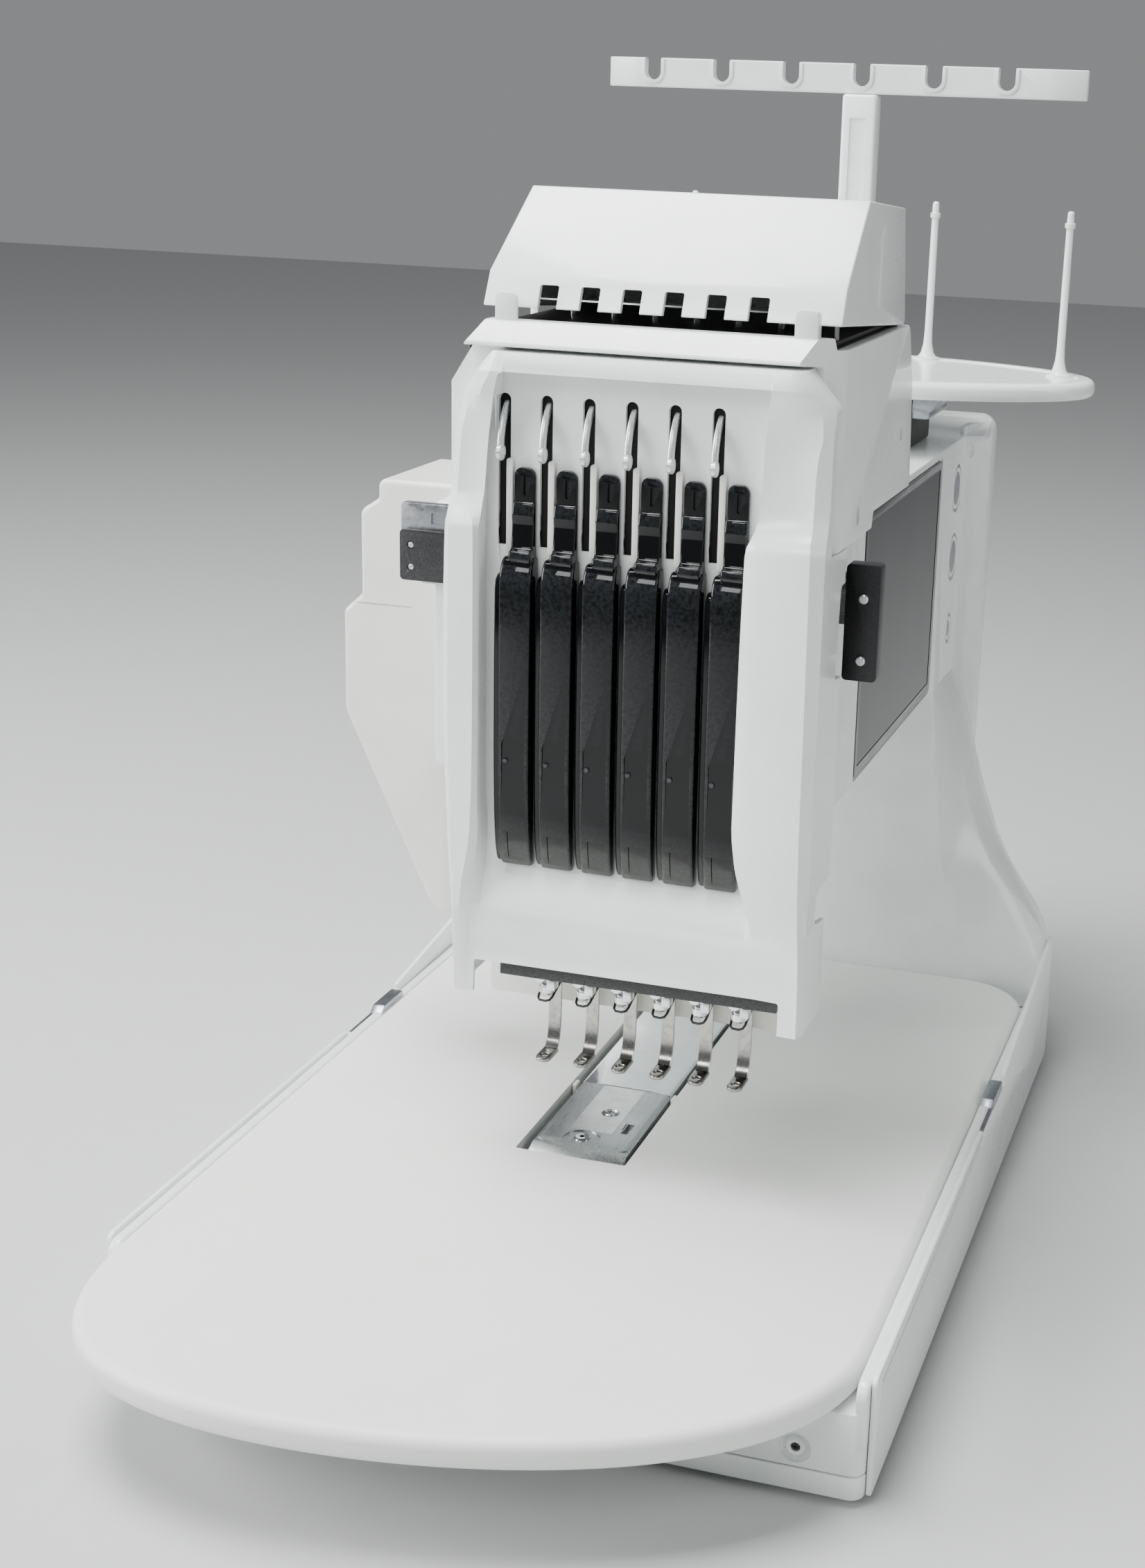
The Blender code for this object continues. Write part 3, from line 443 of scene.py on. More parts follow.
def turned(name: str, profile: Sequence[Flat], centre: Place, axis: Axis = Axis.Z,
           steps: int = 32, flat: float = 1.0) -> Piece:
    """Turns a profile of (radius, distance) about an axis through centre.

    Args:
        name: Name of the piece.
        profile: Radius and distance along the axis, from one end to the other.
        centre: Where the profile's distances start.
        axis: The axis.
        steps: Faces round the axis.
        flat: Share of the radius across the outline's second direction, for an oval.

    Returns:
        The piece.
    """
    turns = [2 * math.pi * i / steps for i in range(steps)]
    rows = [[Vector(centre) + Vector(axis.at(r * math.cos(t), flat * r * math.sin(t), along))
             for t in turns] for r, along in profile]
    return skin(name, rows)


def tube(name: str, path: Sequence[Place], radius: float, steps: int = 10) -> Piece:
    """Round wire along a path."""
    points = [Vector(p) for p in path]
    rows = []
    side = Vector((0.31, 0.52, 0.8))
    for i, point in enumerate(points):
        along = (points[min(i + 1, len(points) - 1)] - points[max(i - 1, 0)]).normalized()
        side = (side - along * side.dot(along)).normalized()
        other = along.cross(side)
        rows.append([point + radius * (math.cos(t) * side + math.sin(t) * other)
                     for t in (2 * math.pi * k / steps for k in range(steps))])
    return skin(name, rows)


def rounded(corners: Sequence[Flat], radius: float | Sequence[float], steps: int = 4) -> list[Flat]:
    """Outline with its corners rounded, each by its own radius or all by one."""
    radii = radius if isinstance(radius, Sequence) else [radius] * len(corners)
    found: list[Flat] = []
    for i, corner in enumerate(corners):
        here = Vector(corner)
        before = Vector(corners[i - 1]) - here
        after = Vector(corners[(i + 1) % len(corners)]) - here
        if radii[i] <= 0:
            found.append(tuple(here))
            continue
        reach = radii[i] / math.tan(before.angle(after) / 2)
        start, end = here + before.normalized() * reach, here + after.normalized() * reach
        first = start - before.normalized() * 0.55 * reach
        second = end - after.normalized() * 0.55 * reach
        curve = interpolate_bezier(start, first, second, end, steps + 1)
        found.extend((p[0], p[1]) for p in curve)
    return found


def oblong(low: Flat, high: Flat, radius: float | Sequence[float],
           steps: int = 4) -> list[Flat]:
    """Rectangle with rounded corners, from the lowest corner round."""
    return rounded([low, (high[0], low[1]), high, (low[0], high[1])], radius, steps)


def disc(centre: Flat, radius: float, other: float | None = None, steps: int = 32) -> list[Flat]:
    """Circle or ellipse as an outline."""
    other = other or radius
    return [(centre[0] + radius * math.cos(2 * math.pi * i / steps),
             centre[1] + other * math.sin(2 * math.pi * i / steps)) for i in range(steps)]


def bezier(*points: Flat, steps: int = 12) -> list[Flat]:
    """Points along a Bezier curve of four control points."""
    return [(p[0], p[1]) for p in interpolate_bezier(*(Vector(p) for p in points), steps)]


def copied(piece: Piece, name: str, offset: Place) -> Piece:
    """Copy of a piece with its own mesh, moved by an offset."""
    make_active(piece)
    bpy.ops.object.duplicate(linked=False)
    copy = bpy.context.object
    copy.name = name
    copy.location = offset
    bpy.ops.object.transform_apply(location=True, rotation=False, scale=False)
    return copy


def at_stations(first: Piece, name: str) -> list[Piece]:
    """The first station's piece and a copy of it at each of the others."""
    return [first] + [copied(first, f"{name}_{i + 1}", (PITCH * i, 0, 0)) for i in STATIONS if i]


def screw(name: str, centre: Place, axis: Axis, out: int, radius: float) -> Piece:
    """Pan head with a cross recess, its head towards out (+1 or -1) along the axis."""
    profile = [(0, -1.2 * out), (radius, -1.2 * out), (radius, 0.15 * radius * out),
               (0.8 * radius, 0.45 * radius * out), (0.4 * radius, 0.6 * radius * out),
               (0, 0.62 * radius * out)]
    head = turned(name, profile, centre, axis, 24)
    arm, half = 0.55 * radius, 0.12 * radius
    for a, b in ((arm, half), (half, arm)):
        middle = [sum(c * (i == k) for i, c in enumerate(centre)) for k in axis.value[:2]]
        outline = [(middle[0] + s * a, middle[1] + t * b)
                   for s, t in ((-1, -1), (1, -1), (1, 1), (-1, 1))]
        along = centre[axis.value[2]]
        carve(head, plate("driver", outline, axis, along + 0.2 * radius * out,
                          along + 2 * radius * out))
    return head


@dataclass
class Assembly:
    """Pieces that belong together on the bench."""

    body: str = "machine"

    def settle(self, piece: Piece, finish: Finish, slot: str, *nodes: str,
               body: str | None = None, smooth: float = 35) -> None:
        """Puts a finished piece in its place in the frame.

        Args:
            piece: The piece, in millimetres about the needle line.
            finish: Its material.
            slot: The record's slot; not used.
            *nodes: CAD nodes that it stands for.
            body: CAD body that it rides on, if not the assembly's.
            smooth: Edges flatter than this, in degrees, are shaded smooth.
        """
        piece.scale = (MM, MM, MM)
        piece.location = (0, NEEDLE_Y, 0)
        make_active(piece)
        bpy.ops.object.transform_apply(location=True, rotation=True, scale=True)
        bpy.ops.object.shade_smooth_by_angle(angle=math.radians(smooth))
        piece.data.materials.clear()
        piece.data.materials.append(finish.make())
        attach(piece, body or self.body)
        if nodes:
            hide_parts(*nodes)
        LOG.info("%s: %d faces", piece.name, len(piece.data.polygons))

    def keep(self, node: str, finish: Finish) -> None:
        """Gives a CAD node its finish."""
        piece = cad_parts[node]
        piece.data.materials.clear()
        piece.data.materials.append(finish.make())


# ---------------------------------------------------------------- base, table and free arm
@dataclass
class Table(Assembly):
    """Board round the free arm."""

    half: float = 207
    top: float = 72
    bottom: float = 54.3
    rear: float = 344.7
    slot: tuple[Flat, Flat] = ((-45.5, -28), (24, 360))

    def outline(self) -> list[Flat]:
        """Straight sides and a front that sweeps round fuller on one side."""
        h, tip = self.half, (-63, -338)
        left = bezier((-h, -205), (-h, -290), (-170, -338), tip, steps=26)
        right = bezier(tip, (40, -338), (h, -290), (h, -170), steps=34)
        rear = rounded([(h, 0), (h, self.rear), (-h, self.rear), (-h, 0)], [0, 45, 45, 0], 12)
        return left[:-1] + right + rear

    def build(self) -> None:
        """Cuts the board out and rounds its rim."""
        board = plate("table_board", self.outline(), Axis.Z, self.bottom, self.top, 6.5, 6, 50)
        hole = oblong(self.slot[0], self.slot[1], 1.5)
        carve(board, plate("slot", hole, Axis.Z, 0, 90))
        self.settle(board, TABLE_MELAMINE, "table_white", "table_top")


@dataclass
class Base(Assembly):
    """Shell under the table, its rails and the thin outer panels."""

    half: float = 213.7
    front: float = -212
    rear: float = 450
    seam: float = 18
    deck: float = 53.7
    panel: tuple[float, float] = (214, 217)

    def outline(self, inset: float = 0) -> list[Flat]:
        """Footprint, its rear corners well rounded."""
        x, front, rear = self.half - inset, self.front + inset, self.rear - inset
        return oblong((-x, front), (x, rear), [8, 8, 62, 62], 10)

    def build(self) -> None:
        """Shell with rails, screw bosses and joint line, tray and panels."""
        shell = plate("base_casing", self.outline(), Axis.Z, self.seam, self.deck, 0.8)
        carve(shell, plate("inside", self.outline(4), Axis.Z, self.seam - 5, self.deck - 4),
              block("slot", (-45.5, -28, 0), (24, 345, 90)))
        for side in (-1, 1):
            x = sorted((side * 207.3, side * self.half))
            rail = oblong((self.front + 1, self.deck - 20), (344, 70), [0, 0, 0, 9], 6)
            weld(shell, plate("rail", rail, Axis.X, *x, bevel=1.6, segments=3))
            boss = (side * 178, self.front, 29)
            carve(shell, turned("recess", [(0, -5), (8.5, -5), (8.5, 1.5), (6.5, 3), (0, 3)],
                                boss, Axis.Y))
        self.settle(shell, MOULDED_WHITE, "white_shell", "base_shell")
        tray = plate("base_tray_skirt", self.outline(), Axis.Z, 4, self.seam - 0.6, 1.2)
        carve(tray, plate("inside", self.outline(4), Axis.Z, 7, self.seam + 5))
        feet = [turned("foot", [(0, 0), (16.5, 0), (18, 1.5), (18, 5), (0, 5)], (x, y, 0))
                for x in (-175, 175) for y in (-170, 370)]
        self.settle(weld(tray, *feet), MOULDED_WHITE, "white_shell", "base_tray")
        # Black strip in the seam between tray and shell: painted shade of the gap.
        painted_shade = plate("base_seam_painted_shade", self.outline(1.2), Axis.Z, self.seam - 2, self.seam + 2)
        carve(painted_shade, plate("inside", self.outline(3.8), Axis.Z, self.seam - 5, self.seam + 5))
        self.settle(painted_shade, SHADOW_FELT, "dark_plastic")
        for name, side in (("left", -1), ("right", 1)):
            x = side * 178
            ring = turned(f"base_boss_{name}", [(2.6, 2.9), (2.6, 0.6), (4.4, 0.2), (5.2, 1.0),
                                                (5.6, 2.9)], (x, self.front, 29), Axis.Y, 32)
            self.settle(ring, MOULDED_WHITE, "white_shell")
            bolt = screw(f"base_screw_{name}", (x, self.front + 2.4, 29), Axis.Y, -1, 2.4)
            self.settle(bolt, BLACK_OXIDE, "black_plate")
            self.side_panel(name, side)

    def side_panel(self, name: str, side: int) -> None:
        """Outer panel: its top edge dips for the frame bracket and climbs to the column."""
        outline = rounded([
            (self.front + 7, 4), (383, 4), (383, 100), (363, 100), (176, 75), (176, 68),
            (95, 68), (95, 72), (self.front + 7, 72)], [2, 4, 6, 10, 1.5, 2, 2, 1.5, 5])
        x = sorted((side * self.panel[0], side * self.panel[1]))
        piece = plate(f"side_panel_skin_{name}", outline, Axis.X, *x, bevel=0.9, segments=2)
        face = side * self.panel[1]
        groove = [(self.front + 20, 63.2), (88, 63.2), (88, 64.6), (self.front + 20, 64.6)]
        carve(piece, plate("groove", groove, Axis.X, *sorted((face - side, face + side))))
        self.settle(piece, MOULDED_WHITE, "white_shell", f"side_panel_{name}")
        x = sorted((side * 207.4, side * 216.2))
        bracket = plate(f"frame_bracket_{name}", rounded(
            [(100, 55), (171, 55), (171, 73.5), (140, 73.5), (134, 69), (100, 69)],
            [0, 0, 2, 3, 3, 2]), Axis.X, *x, bevel=0.8)
        self.settle(bracket, ZINC_SHEET, "satin_steel")


@dataclass
class FreeArm(Assembly):
    """Needle plate, bright cover and the arm inside the table's slot."""

    left: float = -40.4
    right: float = 20.0
    front: float = -20
    joint: float = 75
    top: float = 72

    def build(self) -> None:
        """Plate with its screw, hole, slot and chamfers, and the cover behind it."""
        side = [(self.front, 66.3), (self.joint, 66.3), (self.joint, self.top), (-6, self.top),
                (self.front + 1, 67.6), (self.front, 67.0)]
        piece = plate("stitch_plate", side, Axis.X, self.left, self.right)
        for x, out in ((self.left, -1), (self.right, 1)):
            wedge = [(x + out, self.top + 1), (x - 3.6 * out, self.top + 1),
                     (x - 3.0 * out, self.top + 0.01), (x + out * 0.3, self.top - 2.2),
                     (x + out, self.top - 2.2)]
            carve(piece, plate("chamfer", wedge, Axis.Y, self.front - 5, self.joint + 5))
        arc = [(x, -13.5 + 0.0102 * (x + 10.2) ** 2 - 2.4) for x in range(-44, 25, 2)]
        lip = [(-44, -30)] + [(24, -30)] + arc[::-1]
        carve(piece, plate("lip", lip, Axis.Z, 70.6, 76))
        carve(piece, turned("hole", [(0, -9), (1.5, -9), (1.5, -0.9), (2.9, 2), (0, 2)],
                            (-13, 0, self.top)),
              turned("moon", [(0, -0.7), (11.5, -0.7), (11.5, 2), (0, 2)], (-12.5, -2.2, self.top),
                     steps=48),
              turned("countersink", [(0, -3), (3.4, -3), (5.6, 0), (5.6, 2), (0, 2)],
                     (-7.4, 37, self.top)),
              block("slot", (7.6, 12, 68), (12.4, 26, 80)),
              block("slot_step", (6.6, 17, 71.2), (12.4, 26, 80)))
        round_edges(piece, 0.25, 1, 30)
        self.settle(piece, BRUSHED_STEEL, "satin_steel", "needle_plate", smooth=25)
        band = [(-24, 9), (3, 9), (3, self.joint - 0.4), (-24, self.joint - 0.4)]
        strip = plate("stitch_plate_band", band, Axis.Z, self.top - 0.3, self.top + 0.12)
        carve(strip, turned("hole", [(0, -2), (5.7, -2), (5.7, 2), (0, 2)], (-7.4, 37, self.top)),
              turned("moon", [(0, -2), (11.6, -2), (11.6, 2), (0, 2)], (-12.5, -2.2, self.top),
                     steps=48))
        self.settle(strip, GROUND_STEEL, "satin_steel")
        bush = turned("needle_bush", [(1.5, -0.8), (1.5, 0.2), (2.2, 0.5), (4.4, 0.5), (5.0, 0.0),
                                      (5.0, -0.8)], (-13, 0, self.top), steps=40)
        self.settle(bush, CHROME, "chrome")
        head = screw("stitch_plate_screw", (-7.4, 37, self.top - 1.4), Axis.Z, 1, 4.0)
        self.settle(head, BRUSHED_STEEL, "satin_steel")
        low, edge, crown = 66.3, 70.4, 72.3
        across = [(self.left, low), (self.right, low), (self.right, edge), (18.4, edge + 1.0),
                  (6, crown), (-24, crown), (-38, edge + 1.0), (self.left, edge)]
        cover = plate("shaft_cover", across, Axis.Y, self.joint + 0.5, 344, 0.5, 2, 8)
        self.settle(cover, CHROME, "chrome", "arm_cover", smooth=14)
        for name, x in (("left", -43.4), ("right", 22.6)):
            pad = block(f"arm_joint_{name}", (x - 1.5, 70, 56), (x + 1.3, 78, 71.4), 0.7)
            self.settle(pad, MOULDED_WARM, "white_shell")
        # Black sheet at the bottom of the well round the free arm: painted shade.
        well_shade = block("arm_well_painted_shade", (-45.2, -27.7, 20), (23.7, 344, 25.4), 0.5)
        self.settle(well_shade, SHADOW_FELT, "dark_plastic")
        self.keep("free_arm_body", CAST_ALUMINIUM)
        for node in ("rotary_hook", "bobbin_case"):
            self.keep(node, BRUSHED_STEEL)


# ---------------------------------------------------------------- column, arm and controls
@dataclass
class ColumnAndArm(Assembly):
    """One moulding from the base's flare to the upper arm, with the back cover."""

    arm: float = 122
    bottom: float = 284.3
    top: float = 455
    front: float = 30
    rear: float = 445

    def build(self) -> None:
        """Column with its flare, the arm on it, recesses for the controls, and the back."""
        flare = {
            345: ((213.7, 54.4), (213.7, 88), (203, 94), (178, 96), (159, 104), (147, 118),
                  (140, 140), (134, 175), (128, 225), (122, 284)),
            352: ((213.7, 54.4), (213.7, 92), (204, 103), (182, 113), (163, 127), (151, 143),
                  (143, 165), (137, 195), (130, 235), (122, 284)),
            370: ((213.7, 54.4), (213.7, 100), (204, 113), (186, 132), (169, 153), (158, 174),
                  (149, 198), (142, 222), (132, 252), (122, 284)),
            405: ((206, 54.4), (206, 102), (198, 116), (183, 135), (170, 155), (160, 176),
                  (151, 200), (143, 224), (133, 253), (122, 284)),
            430: ((188, 54.4), (188, 108), (183, 121), (173, 138), (164, 156), (156, 177),
                  (148, 200), (141, 224), (132, 253), (122, 284)),
            445: ((164, 54.4), (164, 110), (162, 122), (157, 138), (152, 157), (147, 178),
                  (142, 200), (137, 224), (130, 253), (122, 284)),
        }
        rows = [[(x, y, z) for x, z in half] + [(-x, y, z) for x, z in half[::-1]]
                for y, half in flare.items()]
        column = skin("arm_and_column", rows)
        modify(column, "BEVEL", width=4.5, segments=3, limit_method="ANGLE",
               angle_limit=math.radians(38), use_clamp_overlap=True)
        side = rounded([(self.front, self.bottom), (344.2, self.bottom), (344.9, 276),
                        (self.rear, 276), (self.rear, self.top), (66, self.top), (58, 448),
                        (self.front, 448)], [6, 8, 0, 0, 0, 2, 2, 6])
        arm = plate("arm", side, Axis.X, -self.arm, self.arm, 7, 4, 60)
        weld(column, arm)
        for side in (-1, 1):
            curve = bezier((122, 412), (122, 430), (128, 440), (134.4, 444.8), steps=9)
            flange = [(side * x, y) for x, y in [(118, 412)] + curve + [(118, 444.8)]]
            weld(column, plate("flange", flange, Axis.Z, 236, 461, 1.0, 2, 70))
        curve = bezier((412, 455), (430, 455), (440, 458), (444.8, 463.6), steps=9)
        crest = [(412, 450)] + curve + [(444.8, 450)]
        weld(column, plate("crest", crest, Axis.X, -134.4, 134.4, 1.0, 2, 70))
        self.hollow(column)
        self.settle(column, MOULDED_WHITE, "white_shell", "arm_shell", "column_shell", smooth=32)
        self.back()

    def hollow(self, column: Piece) -> None:
        """Empties the moulding and cuts its openings."""
        wall, x = 5, self.arm
        carve(column,
              block("room", (wall - x, self.front + wall, self.bottom + wall),
                    (x - wall, self.rear + 9, 443)),
              block("lower_room", (-112, 352, 40), (112, self.rear + 9, 300)),
              plate("screen_recess", oblong((96, 286), (330, 451), 3), Axis.X, x - 1.6, x + 9),
              plate("screen_well", oblong((98, 288), (328, 449), 2), Axis.X, x - 2.5, x + 9),
              block("post_hole", (19, 410, 430), (45, 430, 470)))
        for _, height, radius in BUTTONS:
            profile = [(0, -12), (radius + 1.1, -12), (radius + 1.1, -1.8), (radius + 2.8, 0.2),
                       (radius + 2.8, 9), (0, 9)]
            carve(column, turned("button_hole", profile, (x, BUTTON_Y, height), Axis.X, 48))
        for y, z in ((428, 441), (340, 262)):
            carve(column, turned("screw_well", [(0, -2.5), (4, -2.5), (4, 0), (4.6, 0.7),
                                                (4.6, 20), (0, 20)], (x, y, z), Axis.X))

    def back(self) -> None:
        """Back cover with louvres, screws and the mains socket's contacts."""
        cover = plate("back_cover", oblong((-135, 58), (135, 464), 12, 8), Axis.Y, self.rear + 0.3,
                      470, 3.5, 4, 60)
        carve(cover, plate("inside", oblong((-131, 62), (131, 460), 9), Axis.Y, self.rear - 9, 466),
              block("socket", (-100.3, 400, 71.7), (-69.7, 500, 96.3)))
        for i in range(14):
            z = 150 + 9 * i
            carve(cover, plate("louvre", oblong((-60, z), (60, z + 4), 1.9), Axis.Y, 460, 480))
        for x in (-118, 118):
            for z in (78, 261, 444):
                carve(cover, turned("well", [(0, -2.2), (5, -2.2), (5, 9), (0, 9)], (x, 470, z),
                                    Axis.Y, 24))
        self.settle(cover, MOULDED_WHITE, "white_shell", "rear_cover")
        for i, (x, z) in enumerate((x, z) for x in (-118, 118) for z in (78, 261, 444)):
            bolt = screw(f"back_cover_screw_{i + 1}", (x, 467.9, z), Axis.Y, 1, 3.4)
            self.settle(bolt, BLACK_OXIDE, "black_plate")
        self.keep("power_inlet", DARK_NYLON)
        for i, (x, z) in enumerate(((-92, 82), (-78, 82), (-85, 88))):
            pin = block(f"inlet_pin_{i + 1}", (x - 1, 455, z - 2.2), (x + 1, 467, z + 2.2), 0.5)
            self.settle(pin, BRUSHED_STEEL, "satin_steel")


@dataclass
class Controls(Assembly):
    """Screen and push buttons on the arm's side."""

    face: float = 122

    def build(self) -> None:
        """Frame, glass and the three buttons."""
        x = self.face
        rim = plate("screen_frame", oblong((98.4, 288.4), (327.6, 448.6), 2), Axis.X, x - 2.3,
                    x + 0.1, 0.5)
        carve(rim, plate("opening", oblong(SCREEN_LOW, SCREEN_HIGH, 1.5), Axis.X, x - 0.9, x + 9))
        self.settle(rim, BEZEL, "screen", "screen_glass")
        glass = plate("display_glass", oblong((104.3, 294.3), (321.7, 442.7), 1.5), Axis.X,
                      x - 0.9, x - 0.2, 0.2, 1)
        self.settle(glass, SCREEN_GLASS, "screen")
        for name, height, radius in BUTTONS:
            profile = [(0, -8), (radius, -8), (radius, -1.0), (radius - 0.6, -0.2),
                       (radius - 1.8, 0), (radius - 3.2, -0.5), (radius * 0.55, -1.7),
                       (radius * 0.25, -2.1), (0, -2.2)]
            cap = turned(f"push_button_{name}", profile, (x, BUTTON_Y, height), Axis.X, 48)
            self.settle(cap, MOULDED_WHITE, "white_shell", f"button_{name}", body=f"button_{name}")
            # Grey ring round each cap: painted shade of the gap round the button.
            painted_shade = turned(f"button_painted_shade_ring_{name}", [(radius + 0.1, -2.4), (radius + 2.0, -2.4),
                                                  (radius + 2.0, -0.5), (radius + 0.1, -0.5)],
                          (x, BUTTON_Y, height), Axis.X, 48)
            self.settle(painted_shade, ZINC_SHEET, "satin_steel")


@dataclass
class DriveSide(Assembly):
    """Casing on the arm's far side, and what shows of the drive."""

    def build(self) -> None:
        """Casing in two shells with a joint line, the rail and its end plates."""
        outline = rounded([
            (-122.3, 180), (-132, 180), (-140, 187), (-196, 306), (-196, 370), (-184, 381),
            (-184, 433), (-172, 441), (-172, 453), (-122.3, 453)],
            [0, 3, 5, 10, 5, 3, 6, 3, 5, 0], 6)
        casing = plate("drive_casing_shell", outline, Axis.Y, 60, 150, 3.5, 4, 50)
        carve(casing, plate("line", [(-200, 375.0), (-150, 375.0), (-150, 376.2), (-200, 376.2)],
                            Axis.Y, 40, 61.0))
        for y in (66, 144):
            ring = plate("band", outline, Axis.Y, y, y + 0.8)
            core = [(x + (0.9 if x < -123 else -5), z + (0.9 if z < 300 else -0.9))
                    for x, z in outline]
            carve(ring, plate("core", core, Axis.Y, y - 1, y + 2))
            carve(casing, ring)
        for z in (215, 300, 420):
            carve(casing, turned("well", [(0, -2), (4, -2), (4, 9), (0, 9)], (-150, 150, z),
                                 Axis.Y, 24))
        self.settle(casing, MOULDED_WARM, "warm_white", "drive_casing")
        for i, z in enumerate((215, 300, 420)):
            self.settle(screw(f"drive_casing_screw_{i + 1}", (-150, 148.4, z), Axis.Y, 1, 3),
                        BLACK_OXIDE, "black_plate")
        self.keep("case_rail", GROUND_STEEL)
        self.keep("main_motor", DARK_NYLON)
        self.keep("main_shaft", BRUSHED_STEEL)
        self.keep("power_supply", ZINC_SHEET)
        self.keep("control_board", CIRCUIT)
        self.end_plates()

    def end_plates(self) -> None:
        """Black plates at the ends of the rail, with their pins, and the bracket behind one."""
        left = plate("rail_plate_left", oblong((-136, 404), (-80.5, 434), 2.5), Axis.Y, 11, 14, 0.4)
        for z in (412, 425):
            carve(left, turned("hole", [(0, -9), (2.2, -9), (2.2, 9), (0, 9)], (-129, 11, z),
                               Axis.Y, 20))
        self.settle(left, BLACK_OXIDE, "black_plate", "end_plate_left")
        right = plate("rail_plate_right", oblong((130.3, 371), (150, 437), 2.5), Axis.Y, 13, 24.2,
                      0.6)
        self.settle(right, BLACK_OXIDE, "black_plate", "end_plate_right")
        for i, z in enumerate((418, 383)):
            profile = [(0, -2.0), (2.0, -2.0), (2.6, -1.4), (2.6, 1), (0, 1)]
            pin = turned(f"plate_pin_{i + 1}", profile, (141, 12.6, z), Axis.Y, 24)
            self.settle(pin, TUMBLED, "satin_steel")
        bracket = plate("rail_bracket", oblong((-137, 413), (-96, 449), 2), Axis.Y, 15.5, 22, 0.6)
        carve(bracket, plate("window", oblong((-118, 437), (-108, 444), 1), Axis.Y, 0, 17))
        self.settle(bracket, ZINC_SHEET, "satin_steel")
        for i, (x, z) in enumerate(((-129, 412), (-129, 425))):
            self.settle(screw(f"rail_plate_screw_{i + 1}", (x, 12.3, z), Axis.Y, -1, 2.0), TUMBLED,
                        "satin_steel")


@dataclass
class SpoolPlate(Assembly):
    """Oval plate with its six pins, on the mount."""

    centre: Flat = (0, 354)
    level: Flat = (494, 506)
    pin_top: float = 614
    pins: tuple[Flat, ...] = ((70, 300), (190, 369), (88, 424))

    def build(self) -> None:
        """Plate with a rolled rim and a shallow dish, pins with flared feet, and the mount."""
        x, y = self.centre
        low, high = self.level
        board = plate("spool_tray", disc((x, y), 216.5, 90, 112), Axis.Z, low, high, 5, 6, 50)
        carve(board, plate("dish", disc((x, y), 205, 79, 112), Axis.Z, high - 0.9, high + 9),
              block("post_hole", (19, 410, 400), (45, 430, 600)))
        self.settle(board, MOULDED_WHITE, "white_shell", "spool_plate", smooth=45)
        low = high - 1.2
        profile = [(0, low), (9, low), (9, low + 1.6), (6.4, low + 2.4), (4.6, low + 5),
                   (3.2, low + 11), (2.7, low + 20), (2.4, self.pin_top - 5),
                   (2.2, self.pin_top - 1.2), (1.4, self.pin_top - 0.2), (0, self.pin_top)]
        first = turned("spool_pin_1", profile, (self.pins[0][0], self.pins[0][1], 0), steps=20)
        places = [(side * x, y) for side in (1, -1) for x, y in self.pins]
        pins = [first] + [copied(first, f"spool_pin_{i + 1}", (
            x - places[0][0], y - places[0][1], 0)) for i, (x, y) in enumerate(places) if i]
        for pin in pins:
            self.settle(pin, MOULDED_WHITE, "white_shell")
        for i, (x, y) in enumerate(places):
            profile = [(2.7, -3.4), (3.5, -2.8), (3.6, 0), (2.6, 0.4)]
            collar = turned(f"spool_collar_{i + 1}", profile, (x, y, self.pin_top - 8), steps=20)
            self.settle(collar, MOULDED_WARM, "white_shell")
        mount = plate("spool_tray_mount", oblong((-70, 310), (100, 395), 10), Axis.Z, 455.3, 493.7,
                      2, 3)
        self.settle(mount, DARK_NYLON, "dark_plastic", "spool_mount")
        bracket = plate("spool_tray_bracket", rounded(
            [(60, 476), (112, 476), (112, 481), (118, 490), (118, 493.6), (60, 493.6)],
            [0, 2, 1, 2, 0, 0]), Axis.Y, 322, 384, 0.6)
        self.settle(bracket, ZINC_SHEET, "satin_steel")


@dataclass
class ThreadStand(Assembly):
    """Post that slides down into the arm, and the guide bar on it."""

    body: str = "thread_stand"
    post: tuple[Flat, Flat] = ((20, 411), (44, 429))
    bar: Flat = (-155, 187)
    level: Flat = (684, 704)

    def build(self) -> None:
        """Post with a front rib, and the frosted bar with its notches and their rims."""
        (x0, y0), (x1, y1) = self.post
        post = block("stand_post", (x0, y0, 425), (x1, y1, self.level[0] - 0.3), 2.2, 3)
        carve(post, block("channel", (x0 + 6, y0 - 5, 520), (x1 - 6, y0 + 1.0, 668), 0.8))
        self.settle(post, MOULDED_WHITE, "white_shell", "thread_post")
        low, high = self.level
        start, end = self.bar
        line = ([(start, 428), (start + 8, 424.8), (start + 18, 420.6), (start + 26, 420)]
                + [(end - 26, 420), (end - 18, 420.6), (end - 8, 424.8), (end, 428)])
        outline = [(x, y - 3) for x, y in line] + [(x, y + 3) for x, y in line[::-1]]
        bar = plate("guide_bar", outline, Axis.Z, low, high, 1.0, 3, 60)
        for i in STATIONS:
            x = -120 + 50.6 * i
            rim = oblong((x - 8.6, high - 17.6), (x + 8.6, high - 0.4), [8, 8, 1, 1], 8)
            weld(bar, plate("rim", rim, Axis.Y, 415.8, 424.2, 0.7, 2))
            notch = oblong((x - 6, high - 15), (x + 6, high + 5), [5.6, 5.6, 0, 0], 8)
            carve(bar, plate("notch", notch, Axis.Y, 400, 440))
        self.settle(bar, FROSTED, "frosted", "thread_bar")


